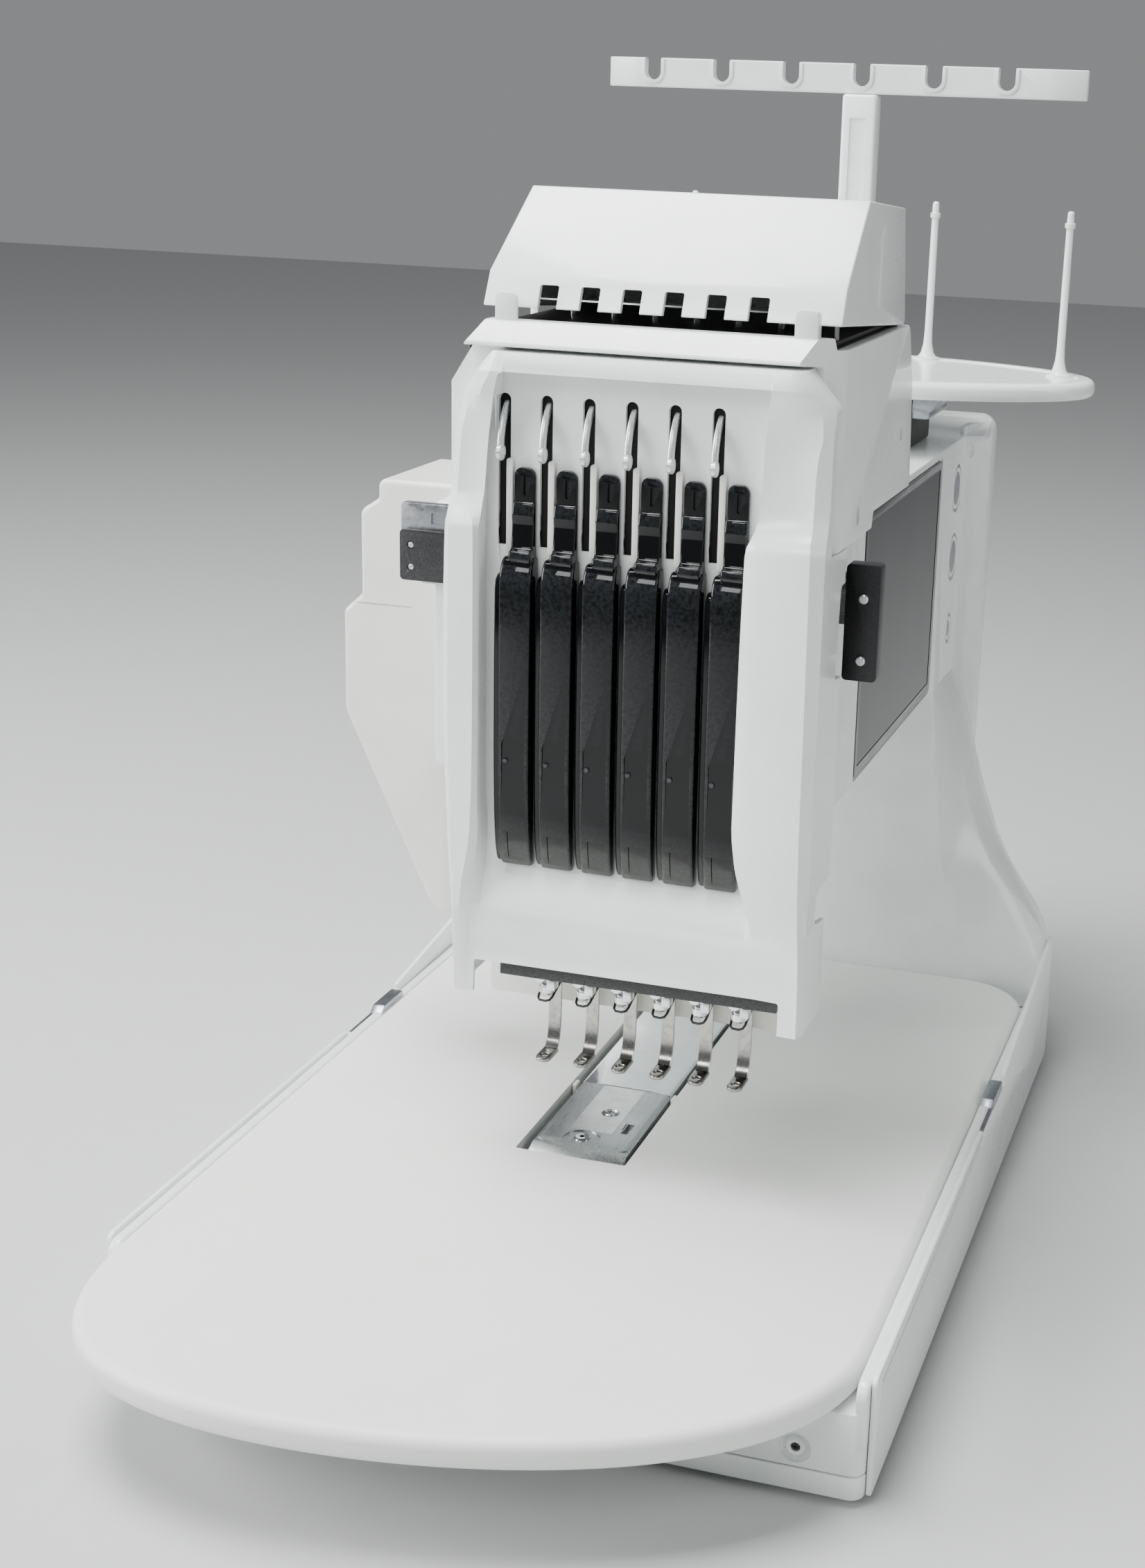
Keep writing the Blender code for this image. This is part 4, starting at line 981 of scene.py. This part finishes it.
# ---------------------------------------------------------------- needle case
def smooth_rows(rows: Sequence[Sequence[Place]], steps: int) -> list[list[Vector]]:
    """Adds rows between rows, along a curve that never overshoots them."""
    found = [[Vector(p) for p in rows[0]]]
    for i in range(len(rows) - 1):
        if (Vector(rows[i][1]) - Vector(rows[i + 1][1])).length < 4:
            found.append([Vector(p) for p in rows[i + 1]])
            continue
        for k in range(1, steps + 1):
            t = k / steps
            row = []
            for j, (here, there) in enumerate(zip(rows[i], rows[i + 1])):
                a, b = Vector(here), Vector(there)
                slopes = []
                for at in (i, i + 1):
                    before = Vector(rows[max(at - 1, 0)][j])
                    after = Vector(rows[min(at + 1, len(rows) - 1)][j])
                    middle = Vector(rows[at][j])
                    one, two = middle - before, after - middle
                    slopes.append(Vector(
                        0 if p * q <= 0 else math.copysign(min(abs(p), abs(q)), p)
                        for p, q in zip(one, two)))
                h1 = (1 + 2 * t) * (1 - t) ** 2
                h2 = t * (1 - t) ** 2
                h3 = t * t * (3 - 2 * t)
                h4 = t * t * (t - 1)
                row.append(h1 * a + h2 * slopes[0] + h3 * b + h4 * slopes[1])
            found.append(row)
    return found


@dataclass
class FrontCover(Assembly):
    """Face of the needle case: pillars round a recessed panel with the levers' slots."""

    body: str = "needle_case"
    recess: float = -44

    def rows(self) -> list[list[Place]]:
        """Cross-sections from the top edge down, each from the left rear edge to the right."""
        panel, behind, sides = self.recess, -40.3, -5.5
        table = (  # height, rear, then (x, y) of five points on the left and five on the right
            (548, behind, (-51, -58), (-50, -58.6), (-48, -59), (-44, -59), (-42, -59),
             (103, -59), (105, -59), (112, -59), (118, -58.6), (120, -58)),
            (537.8, behind, (-60.5, -55), (-58, -58.5), (-51, -61.6), (-43.5, -62), (-43, -61.5),
             (103, -61.5), (103.5, -62), (113, -61.6), (121, -60), (128.5, -55)),
            (536.2, behind, (-61.5, -54.6), (-59, -58.2), (-51.5, -61.2), (-46.5, -61),
             (-50.5, panel),
             (102.8, panel), (103.2, -61), (113.4, -61.2), (122, -59.5), (129.6, -54.6)),
            (528, behind, (-66.8, -52.5), (-63, -56), (-56.5, -59.5), (-49.5, -58.5),
             (-52.5, panel),
             (102, panel), (101.6, -58.5), (114.5, -59.5), (129, -56), (136, -52)),
            (515, behind, (-71.5, -51), (-67, -54), (-60, -54.5), (-52.5, -55), (-55, panel),
             (100.4, panel), (100, -55), (112, -53.5), (130, -55), (134.5, -50)),
            (503, behind, (-75.3, -50), (-70.5, -52.5), (-63, -52), (-54.5, -53.5), (-57, panel),
             (99.2, panel), (98.8, -53.5), (112, -50.6), (127.5, -53.5), (134, -48.5)),
            (487, behind, (-76.6, -49.5), (-72, -52), (-63.8, -51), (-56, -53), (-58.5, panel),
             (98.6, panel), (98.2, -53), (112.5, -50), (126.5, -53), (134, -48)),
            (472, behind, (-77.6, -50), (-73, -52.5), (-64.2, -51.4), (-57, -53.4), (-59.3, panel),
             (98, panel), (97.6, -53.6), (112.5, -51), (126.5, -54), (134, -49)),
            (466, behind, (-78, -51.5), (-73.4, -54.5), (-64, -53.6), (-57.6, -54.6),
             (-59.3, panel),
             (96.8, panel), (96.4, -54.8), (109, -53.6), (126.8, -56), (134, -51)),
            (458.5, behind, (-78.5, -54), (-74, -59.5), (-62, -59.5), (-58, -56.4), (-59.3, panel),
             (94, panel), (93.6, -56.6), (103, -59.6), (127, -60.4), (134, -53.6)),
            (454, behind, (-78.9, -55.6), (-74.2, -61.8), (-60.5, -61.8), (-58.2, -58),
             (-59.3, panel),
             (92.4, panel), (92, -58), (101, -61.8), (127.4, -61.8), (134, -54.4)),
            (449.6, behind, (-79.1, -56), (-74.4, -62), (-60.2, -62), (-58.4, -58.4),
             (-59.3, panel),
             (91.8, panel), (91.4, -58.2), (100.6, -62), (127.6, -62), (134, -54.6)),
            (448.9, sides, (-79.1, -56), (-74.4, -62), (-60.2, -62), (-58.4, -58.4), (-59.3, panel),
             (91.8, panel), (91.4, -58.2), (100.6, -62), (127.6, -62), (134, -54.6)),
            (400, sides, (-80, -56), (-75, -62), (-60.2, -62), (-58.4, -58.6), (-59.3, panel),
             (91, panel), (90.6, -58.4), (100, -62), (128, -62), (134, -54.6)),
            (345, sides, (-79.8, -56), (-75, -62), (-60.4, -62), (-58.4, -58.6), (-59.3, panel),
             (90.6, panel), (90.2, -58.4), (99.4, -62), (128.4, -62), (134, -54.6)),
            (300, sides, (-78.6, -56), (-74, -62), (-61, -62), (-58.6, -58.6), (-59, panel),
             (90.4, panel), (90, -58.4), (99.4, -62), (128.6, -62), (134, -54.8)),
            (280, sides, (-77.8, -56), (-73.4, -62), (-62, -62), (-58.4, -58), (-57.8, panel),
             (91.6, panel), (92, -58), (104.5, -62), (129, -62), (134, -55)),
            (262, sides, (-77, -56), (-73, -62), (-64.5, -62), (-60.4, -57.4), (-58, panel - 1),
             (94.4, panel - 1), (96.6, -57.4), (117, -62), (129.4, -62), (134, -55.4)),
            (248, sides, (-76, -56), (-72, -62), (-67, -61.8), (-62.6, -57.6), (-58, -50),
             (96.6, -50), (101, -57.6), (124.6, -61.8), (130, -62), (134, -55.8)),
            (236, sides, (-75.4, -56), (-71.6, -62), (-68, -61.6), (-63.6, -58.2), (-58, -55),
             (98.4, -55), (104, -58.2), (127.4, -61.6), (130.8, -62), (134, -56)),
            (222, sides, (-74.6, -56), (-71.4, -62), (-68.4, -61.5), (-64, -59.2), (-59, -57.6),
             (101, -57.6), (110, -59.2), (128.6, -61.5), (131.4, -62), (134, -56.4)),
            (202, sides, (-74, -56.4), (-71.2, -62), (-68.6, -61.6), (-64, -60.4), (-60, -59),
             (106, -59), (118, -60.2), (129.4, -61.6), (131.8, -62), (134, -56.8)),
            (184, sides, (-73, -56.4), (-70.6, -62), (-68, -61.8), (-64, -61.2), (-60.4, -60.6),
             (112, -60.6), (120, -61), (130, -61.8), (132, -62), (134, -57)),
        )
        found = []
        for height, rear, *points in table:
            ends = (points[0][0], rear), (points[-1][0], rear)
            found.append([(x, y, height) for x, y in (ends[0], *points, ends[1])])
        top = [(x, max(y, behind) if i in (0, 11) else -41.0, 548.0)
               for i, (x, y, _) in enumerate(found[0])]
        return smooth_rows([top] + found, 3)

    def build(self) -> None:
        """Shell of even thickness, its slots, notches and rounded edges."""
        cover = skin("needle_case_face", self.rows(), closed=False, capped=False)
        self.face_forward(cover)
        modify(cover, "SOLIDIFY", thickness=2.6, offset=-1, use_even_offset=True,
               thickness_clamp=0.8)
        for i in STATIONS:
            x = SLOT_LEFT + PITCH * i
            slot = oblong((x, 442), (x + 7, 524.5), [0, 0, 3.4, 3.4], 6)
            cutter = plate("slot", slot, Axis.Y, -50, -35)
            modify(cover, "BOOLEAN", operation="DIFFERENCE", solver="EXACT", object=cutter,
                   use_self=True)
            bpy.data.objects.remove(cutter)
        apron = oblong((-60, 170), (121, 203), [0, 0, 1.5, 1.5])
        carve(cover, plate("apron", apron, Axis.Y, -70, 10))
        notch = rounded([(-39, 243.5), (4, 236), (4, 262), (-36, 262)], [5, 0, 0, 8], 6)
        carve(cover, plate("notch", notch, Axis.X, 129.5, 140),
              block("rear_low", (110, -15, 170), (140, 0, 243)),
              plate("rail_notch", rounded([(-19, 378), (4, 378), (4, 430), (-14, 430)],
                                          [4, 0, 0, 4]), Axis.X, 129.5, 140))
        round_edges(cover, 0.9, 2, 32)
        self.settle(cover, MOULDED_WHITE, "white_shell", "front_cover", smooth=30)
        # Black sheet behind the first slot, where the lit inside wall would show: painted shade.
        shade_sheet = block("slot_painted_shade_sheet", (-76.5, -26.5, 456), (-51, -25.5, 551))
        self.settle(shade_sheet, SHADOW_FELT, "dark_plastic")
        for i in STATIONS:
            x = -47.0 + PITCH * i
            rib = plate(f"slot_rib_{i + 1}", oblong((x, 438), (x + 3.8, 490), 1.6), Axis.Y, -46.8,
                        self.recess + 2.4, 0.6)
            self.settle(rib, MOULDED_WARM, "white_shell")
        # Black plate behind the slots so that they read dark: painted shade.
        back = plate("slot_painted_shade_backing", oblong((-56, 432), (100, 532), 2), Axis.Y, -41.0, -40.4)
        self.settle(back, SHADOW_FELT, "dark_plastic")

    @staticmethod
    def face_forward(piece: Piece) -> None:
        """Turns an open skin so that its faces point to the front and the sides."""
        with edit(piece) as mesh:
            total = sum((f.normal.y * f.calc_area() for f in mesh.faces), 0.0)
            if total > 0:
                bpy.ops.mesh.select_all(action="SELECT")
                bpy.ops.mesh.flip_normals()


@dataclass
class HeadHousing(Assembly):
    """Upper housing of the needle case, the tension unit's base and the thread stops."""

    body: str = "needle_case"

    def build(self) -> None:
        """Housing with screw wells, a shadow line round the face, stops and dials."""
        side = rounded([(-40, 449.5), (55, 449.5), (58, 458.5), (157, 458.5), (148, 520),
                        (132, 556.5), (-32, 556.5), (-34, 563), (-45, 563), (-58, 550.3),
                        (-40, 548.7)], [0, 2, 2, 4, 6, 6, 1, 1, 3, 1.5, 0])
        head = plate("head_housing", side, Axis.X, -82, 134, 2.2, 4, 50)
        hollow = [(-37, 454.5), (52, 454.5), (55, 463), (152, 463), (143, 518), (130, 552.5),
                  (-37, 552.5)]
        carve(head, plate("inside", hollow, Axis.X, -78, 124),
              block("lever_opening", (-57, -60, 440), (101, -30, 534)),
              plate("right_corner", [(112, -64), (140, -64), (140, -24), (134, -24)], Axis.Z,
                    440, 580),
              plate("left_corner", [(-57, 568), (-84.5, 524), (-90, 524), (-90, 580), (-57, 580)],
                    Axis.Y, -70, 170))
        for y, z in ((123, 495), (18, 462.5)):
            well = turned("well", [(0, -3), (3.4, -3), (3.9, 0), (3.9, 9), (0, 9)], (134, y, z),
                          Axis.X, 28, 1.35)
            carve(head, well)
        self.settle(head, MOULDED_WHITE, "white_shell", "head_body")
        for i, (y, z) in enumerate(((123, 495), (18, 462.5))):
            self.settle(screw(f"head_screw_{i + 1}", (131.4, y, z), Axis.X, 1, 2.6), BLACK_OXIDE,
                        "black_plate")
        for name, x, turn in (("left", -55, 1), ("right", 109.5, -1)):
            face = oblong((x, 561), (x + 12.5, 577.7), [0, 0, 4, 4], 5)
            stop = plate(f"thread_stop_{name}", face, Axis.Y, -44.4, -42.0, 0.5)
            edge = x if turn > 0 else x + 10.5
            weld(stop, plate("return", rounded([(-44, 561), (-37.4, 561), (-37.4, 575),
                                                (-44, 577.2)], [0, 0, 2, 0.5]),
                             Axis.X, edge, edge + 2, 0.4))
            self.settle(stop, MOULDED_WHITE, "white_shell")
        # Black slab in the joint under the tension unit: painted shadow line.
        painted_shade = block("lid_painted_shadow_line", (-70, -33, 556.4), (128, 124, 557.4), 0.2)
        self.settle(painted_shade, SHADOW_FELT, "dark_plastic")
        self.tension_unit()

    def tension_unit(self) -> None:
        """Dark base plate and the six dials, each two discs on a post with a knurled nut."""
        base = block("tension_unit_base", (-62, -24, 556.9), (126, 106, 559.8), 0.8)
        self.settle(base, DARK_NYLON, "dark_plastic", "tension_base")
        x = FIRST_NEEDLE
        first = turned("tension_dial_1", [
            (0, 559.6), (2.4, 559.6), (2.4, 566), (8.6, 567.4), (9.3, 568.2), (4.2, 569.6),
            (9.3, 571.0), (8.6, 571.8), (3, 573), (3, 576), (7.6, 576.6), (7.6, 587), (6.4, 588.6),
            (2, 588.6), (2, 591.6), (0, 591.6)], (x, 30, 0), steps=36)
        guide = tube("thread_rail", [(-60, -12, 560), (-60, -12, 570), (-58, -12, 572.5),
                                     (122, -12, 572.5), (124, -12, 570), (124, -12, 560)], 1.3)
        for dial in at_stations(first, "tension_dial"):
            self.settle(dial, CHROME, "chrome")
        self.settle(guide, CHROME, "chrome")


@dataclass
class TensionLid(Assembly):
    """Sloping lid over the tension dials; its front lip is a comb."""

    body: str = "tension_lid"

    def build(self) -> None:
        """Hollow lid with soft edges and seven teeth."""
        turns = [math.radians(a) for a in (0, 30, 60, 90)]
        side = [(121 + 3.5 * math.sin(a), 560.5 - 3.5 * math.cos(a)) for a in turns]
        side += [(109, 623), (18, 630), (-26, 587), (-34, 569)]
        left = [-66] * 4 + [-62, -58, -65.5, -66]
        lid = skin("tension_unit_lid", [[(132, y, z) for y, z in side],
                                        [(x, y, z) for x, (y, z) in zip(left, side)]])
        round_edges(lid, 3.0, 4, 28)
        inner = [(121.5, 540), (105.5, 620.5), (19, 626.5), (-23.3, 585.5), (-31, 567.5),
                 (-31, 540)]
        shifts = [-66, -62, -58, -65.5, -66, -66]
        carve(lid, skin("inside", [[(129, y, z) for y, z in inner],
                                   [(x + 3, y, z) for x, (y, z) in zip(shifts, inner)]]))
        for i in STATIONS:
            x = -35.2 + 23.26 * i
            gap = oblong((x, 550), (x + 10.8, 581), [0, 0, 1.2, 1.2])
            carve(lid, plate("gap", gap, Axis.Y, -45, -22.5))
        round_edges(lid, 0.5, 2, 60)
        self.settle(lid, MOULDED_WHITE, "white_shell", "tension_cover", smooth=32)


@dataclass
class ThreadCovers(Assembly):
    """Smoked covers over the six thread paths."""

    body: str = "needle_case"
    half: float = 11.25

    def build(self) -> None:
        """One cover, then five copies of each of its pieces."""
        middle = FIRST_NEEDLE - 3
        back = -44.3
        left, right = middle - self.half, middle + self.half
        ridge = left + 4.2
        front = (bezier((-50, 260), (-55.2, 268), (-56.8, 285), (-57.6, 330), steps=9)
                 + [(-57.8, 380), (-57.2, 424)])
        side = ([(back, 259.5)] + front + bezier((-57.2, 424), (-56.6, 431), (-54, 436),
                                                 (-50.5, 437), steps=5)[1:] + [(back, 437)])
        shell = plate("smoked_cover_1", side, Axis.X, ridge, right, 1.5, 3, 24)
        flange = [(back, 262)] + [(y + 4.2, z) for y, z in front[:-1]] + [
            (-53, 419), (-51.6, 424.6), (-48, 427), (back, 427)]
        weld(shell, plate("flange", flange, Axis.X, left, ridge + 2, 1.2, 3, 24))
        recess = oblong((ridge + 2.4, 281), (right - 2.2, 337), [0, 0, 5, 5], 6)
        carve(shell, plate("recess", recess, Axis.Y, -70, -56.7),
              block("crease", (ridge + 5.2, -70, 250), (ridge + 5.7, -52.0, 281)))
        weld(shell, turned("nub", [(0, 0.6), (1.8, 0.6), (1.5, -0.5), (0, -0.7)],
                           (ridge + 4.5, -57.0, 323), Axis.Y, 16))
        cap = rounded([(back, 432), (-52.4, 432), (-55.4, 436.6), (-54.6, 440.6), (-50.8, 442),
                       (-49.2, 455), (-50.2, 460), (-48.6, 467.5), (back, 468)],
                      [0, 1, 1.6, 1.6, 2, 2, 2, 2.5, 0], 4)
        weld(shell, plate("clip", cap, Axis.X, middle - 2.6, right - 1.2, 1.1, 3, 24))
        tab = oblong((middle - 2, 430), (right - 1.4, 485.6), [0, 0, 4.6, 4.2], 6)
        weld(shell, plate("tab", tab, Axis.Y, -47.6, back, 0.7, 2, 40))
        carve(shell, plate("tab_slot", oblong((middle + 3.4, 470.5), (middle + 5.2, 481), 0.8),
                           Axis.Y, -50, -46.4))
        for i, piece in enumerate(at_stations(shell, "smoked_cover")):
            self.settle(piece, SMOKED, "smoked_cover", f"thread_cover_{i + 1}", smooth=40)


# ---------------------------------------------------------------- stations
@dataclass
class Stations(Assembly):
    """Lever, needle bar and presser foot of each needle, and the plates round them."""

    body: str = "needle_case"

    def build(self) -> None:
        """Models the first station, copies it, and gives each its bodies."""
        pairs = (
            (self.lever(), "thread_lever", "take_up_lever", TUMBLED, "satin_steel"),
            (self.bar(), "bar_and_clamp", "needle_bar", CHROME, "chrome"),
            (self.foot(), "foot_strip", "presser_foot", NICKEL_STRIP, "chrome"),
            (self.eyelet(), "lever_eyelet", None, MOULDED_WHITE, "satin_steel"),
            (self.guide(), "wire_guide", None, BLACK_OXIDE, "black_plate"),
            (self.clamp(), "clamp_screw", None, CHROME, "chrome"),
        )
        riders = {"lever_eyelet": "take_up_lever", "wire_guide": "presser_foot",
                  "clamp_screw": "needle_bar"}
        for first, name, node, finish, slot in pairs:
            first.name = f"{name}_1"
            for i, piece in enumerate(at_stations(first, name)):
                body = f"{node or riders[name]}_{i + 1}"
                self.settle(piece, finish, slot, *([body] if node else []), body=body, smooth=40)
        # Case frame in black oxide to darken the recess behind the feet: painted shade.
        self.keep("case_frame", BLACK_OXIDE)
        self.apron()

    @staticmethod
    def lever() -> Piece:
        """Curved arm from the pivot, through the slot, down to the thread's eyelet."""
        x = SLOT_LEFT + 2.2
        line = bezier((-4, 478), (-12, 530), (-47, 532), (-50.5, 496), steps=22)
        rows = []
        for i, (y, z) in enumerate(line):
            before, after = line[max(i - 1, 0)], line[min(i + 1, len(line) - 1)]
            along = Vector((after[0] - before[0], after[1] - before[1])).normalized()
            half = 3.4 - 1.4 * i / len(line)
            across = Vector((-along.y, along.x)) * half
            corners = oblong((-half, x), (half, x + 3), 0.9, 2)
            rows.append([(px, y + across.x / half * a, z + across.y / half * a)
                         for a, px in corners])
        arm = skin("lever", rows)
        hub = turned("hub", [(0, 0), (5, 0), (5, 3), (0, 3)], (x, -2, 474), Axis.X, 28)
        ring = turned("ring", [(0, 0.0), (3.9, 0.0), (4.4, 0.5), (4.4, 2.5), (3.9, 3.0), (0, 3.0)],
                      (x, -50.5, 493.5), Axis.X, 32)
        weld(arm, hub, ring)
        return carve(arm, turned("eye", [(0, -5), (1.9, -5), (1.9, 9), (0, 9)],
                                 (x, -50.5, 493.5), Axis.X, 24))

    @staticmethod
    def eyelet() -> Piece:
        """Ceramic eyelet pressed into the lever's end."""
        x = SLOT_LEFT + 2.2
        return turned("eyelet", [(1.1, 1.5), (1.2, 0.2), (1.9, -0.5), (2.7, -0.2), (2.9, 0.1),
                                 (2.9, 2.9), (2.7, 3.2), (1.9, 3.5), (1.2, 2.8), (1.1, 1.5)],
                      (x, -50.5, 493.5), Axis.X, 28)

    @staticmethod
    def bar() -> Piece:
        """Needle bar with its driving collar and needle clamp."""
        profile = [(0, 166), (3.4, 166), (4.2, 166.8), (4.2, 171), (3.7, 171.6), (3.7, 173),
                   (4.2, 173.6), (4.2, 179.5), (2.5, 181.5), (2.5, 380), (6, 380.4), (6, 391.6),
                   (2.5, 392), (2.5, 429.4), (1.9, 430), (0, 430)]
        return turned("bar", profile, (FIRST_NEEDLE, 0, 0), steps=28)

    @staticmethod
    def clamp() -> Piece:
        """Thumb screw in the clamp's side, with a knurled head."""
        x = FIRST_NEEDLE
        profile = [(0, 0), (1.8, 0), (1.8, -4.6), (4.2, -5.0), (4.2, -8.6), (3.5, -9.4), (0, -9.4)]
        body = turned("thumb", profile, (x - 1.2, 0, 176.2), Axis.Y, 28)
        carve(body, block("slit", (x - 6.4, -11, 175.7), (x + 3.9, -8.5, 176.8)))
        jaw = block("jaw", (x + 1.4, -5.4, 166.6), (x + 6.8, 2.0, 173.6), 0.8)
        collar = turned("collar", [(0, 162.6), (3.4, 162.6), (4.8, 164), (4.8, 168), (0, 168)],
                        (x, 0, 0), steps=24)
        return weld(body, jaw, collar)

    @staticmethod
    def guide() -> Piece:
        """Bent wire that holds the thread near the needle."""
        x = FIRST_NEEDLE
        return tube("wire", [(x - 4.6, 3.2, 166), (x - 4.6, 0.5, 163), (x - 4.2, -3.4, 160.6),
                             (x - 2.6, -5.6, 160), (x + 1.4, -6.2, 160), (x + 3.6, -4.6, 160.4),
                             (x + 4.2, -2.0, 161.4), (x + 4.0, 6.0, 163.6), (x + 3.6, 13.8, 165)],
                    0.75, 8)

    @staticmethod
    def foot() -> Piece:
        """Flat strip bent forward into a horseshoe toe with the needle's hole."""
        x = FIRST_NEEDLE
        line = ([(15.5, 245), (15.5, 200)] + bezier((15.5, 170), (16.0, 140), (15.4, 128),
                                                    (8.6, 123.2), steps=14))
        rows = []
        for i, (y, z) in enumerate(line):
            before, after = line[max(i - 1, 0)], line[min(i + 1, len(line) - 1)]
            along = Vector((after[0] - before[0], after[1] - before[1])).normalized()
            rows.append([(px, y - along.y * a, z + along.x * a)
                         for px, a in oblong((x - 4, -0.8), (x + 4, 0.8), 0.35, 1)])
        strip = skin("strip", rows)
        toe = plate("toe", oblong((x - 4.7, -9), (x + 4.7, 9.5), [4.6, 4.6, 1, 1], 8), Axis.Z,
                    121.0, 123.6, 0.8, 3)
        weld(strip, toe)
        carve(strip, turned("hole", [(0, -9), (2.2, -9), (2.6, -1.2), (2.6, 0.2), (3.4, 1.2),
                                     (3.4, 9), (0, 9)], (x, -2.2, 122.8), Axis.Z, 28))
        slot = oblong((x - 1.3, 176), (x + 1.3, 196), 1.2)
        return carve(strip, plate("slot", slot, Axis.Y, 5, 25))

    def apron(self) -> None:
        """Plate behind the feet, with its slots, washers and pivot screws."""
        rear = plate("foot_plate", oblong((-82, 150), (112, 200), 4), Axis.Y, 22, 25, 0.6)
        carve(rear, plate("slot", oblong((-60, 164), (90, 169), 2), Axis.Y, 10, 40))
        self.settle(rear, MOULDED_WARM, "cast_grey", "bottom_plate")
        for name, x in (("left", -64), ("right", 104)):
            washer = turned(f"foot_washer_{name}", [(2.4, 0), (7.2, 0), (7.8, -0.6), (7.8, -1.6),
                                                    (5.2, -2.4), (2.4, -2.4)], (x, 22, 181), Axis.Y)
            self.settle(washer, MOULDED_WHITE, "white_shell")
            self.settle(screw(f"foot_plate_screw_{name}", (x, 20.6, 181), Axis.Y, -1, 4.4), CHROME,
                        "chrome")
        # Rail in black oxide to darken the strip under the front cover: painted shade.
        rail = block("foot_rail", (-54, 9, 186), (110, 13.5, 192.5), 0.8)
        self.settle(rail, BLACK_OXIDE, "black_plate")
        for i in STATIONS:
            x = FIRST_NEEDLE + PITCH * i
            self.settle(screw(f"foot_screw_{i + 1}", (x, 12.4, 180.5), Axis.Y, -1, 3.6), CHROME,
                        "chrome", body=f"presser_foot_{i + 1}")


# ---------------------------------------------------------------- studio
@dataclass
class Studio:
    """Floor, soft lights and the camera."""

    place: Place = (0.39915, -1.24485, 0.68231)
    yaw: float = 16.308
    pitch: float = 17.089
    roll: float = -1.926
    lens: float = 51.72
    shift: float = -0.0813

    def camera(self) -> None:
        """Adds the camera."""
        yaw, pitch, roll = (math.radians(a) for a in (self.yaw, self.pitch, self.roll))
        ahead = Vector((-math.sin(yaw) * math.cos(pitch), math.cos(yaw) * math.cos(pitch),
                        -math.sin(pitch)))
        level = ahead.cross(Vector((0, 0, 1))).normalized()
        below = ahead.cross(level)
        right = math.cos(roll) * level + math.sin(roll) * below
        down = -math.sin(roll) * level + math.cos(roll) * below
        turn = Matrix((right, -down, -ahead)).transposed().to_4x4()
        data = bpy.data.cameras.new("studio_camera")
        data.lens, data.shift_x = self.lens, self.shift
        data.clip_start, data.clip_end = 0.05, 50
        camera = bpy.data.objects.new("studio_camera", data)
        bpy.context.scene.collection.objects.link(camera)
        camera.matrix_world = Matrix.Translation(self.place) @ turn
        bpy.context.scene.camera = camera

    def light(self, name: str, place: Place, target: Place, size: Flat, power: float) -> None:
        """Adds a soft box that faces a point."""
        data = bpy.data.lights.new(name, "AREA")
        data.shape, data.size, data.size_y = "RECTANGLE", *size
        data.energy = power
        lamp = bpy.data.objects.new(name, data)
        bpy.context.scene.collection.objects.link(lamp)
        lamp.location = place
        lamp.rotation_mode = "QUATERNION"
        lamp.rotation_quaternion = (Vector(target) - Vector(place)).to_track_quat("-Z", "Y")

    def build(self) -> None:
        """Floor, world and soft boxes."""
        make_active()
        bpy.ops.mesh.primitive_plane_add(size=14, location=(0, 0, -0.0006))
        floor = bpy.context.object
        floor.name = "studio_floor"
        floor.data.materials.append(FLOOR_PAPER.make())
        world = bpy.data.worlds.new("studio_air")
        world.use_nodes = True
        air = world.node_tree.nodes["Background"]
        air.inputs["Color"].default_value = linear("#D9DCDE")
        air.inputs["Strength"].default_value = 0.36
        bpy.context.scene.world = world
        self.light("overhead_box", (-0.5, -0.3, 2.5), (0, 0, 0.3), (1.6, 1.2), 118)
        self.light("left_box", (-2.2, -1.2, 1.3), (0, 0, 0.3), (1.0, 1.5), 78)
        self.light("right_box", (2.4, -0.3, 1.1), (0, 0.1, 0.3), (0.7, 1.8), 15)
        self.light("front_box", (-0.6, -2.8, 2.2), (0, 0, 0.2), (1.2, 0.8), 26)


def main() -> None:
    """Builds the machine from the camera and the base to the needles."""
    logging.basicConfig(level=logging.INFO, format="%(name)s %(message)s")
    studio = Studio()
    studio.camera()
    for assembly in (Base(), Table(), FreeArm(), ColumnAndArm(), Controls(), DriveSide(),
                     SpoolPlate(), ThreadStand(), HeadHousing(), TensionLid(), FrontCover(),
                     ThreadCovers(), Stations()):
        assembly.build()
    studio.build()


if __name__ == "__main__":
    main()
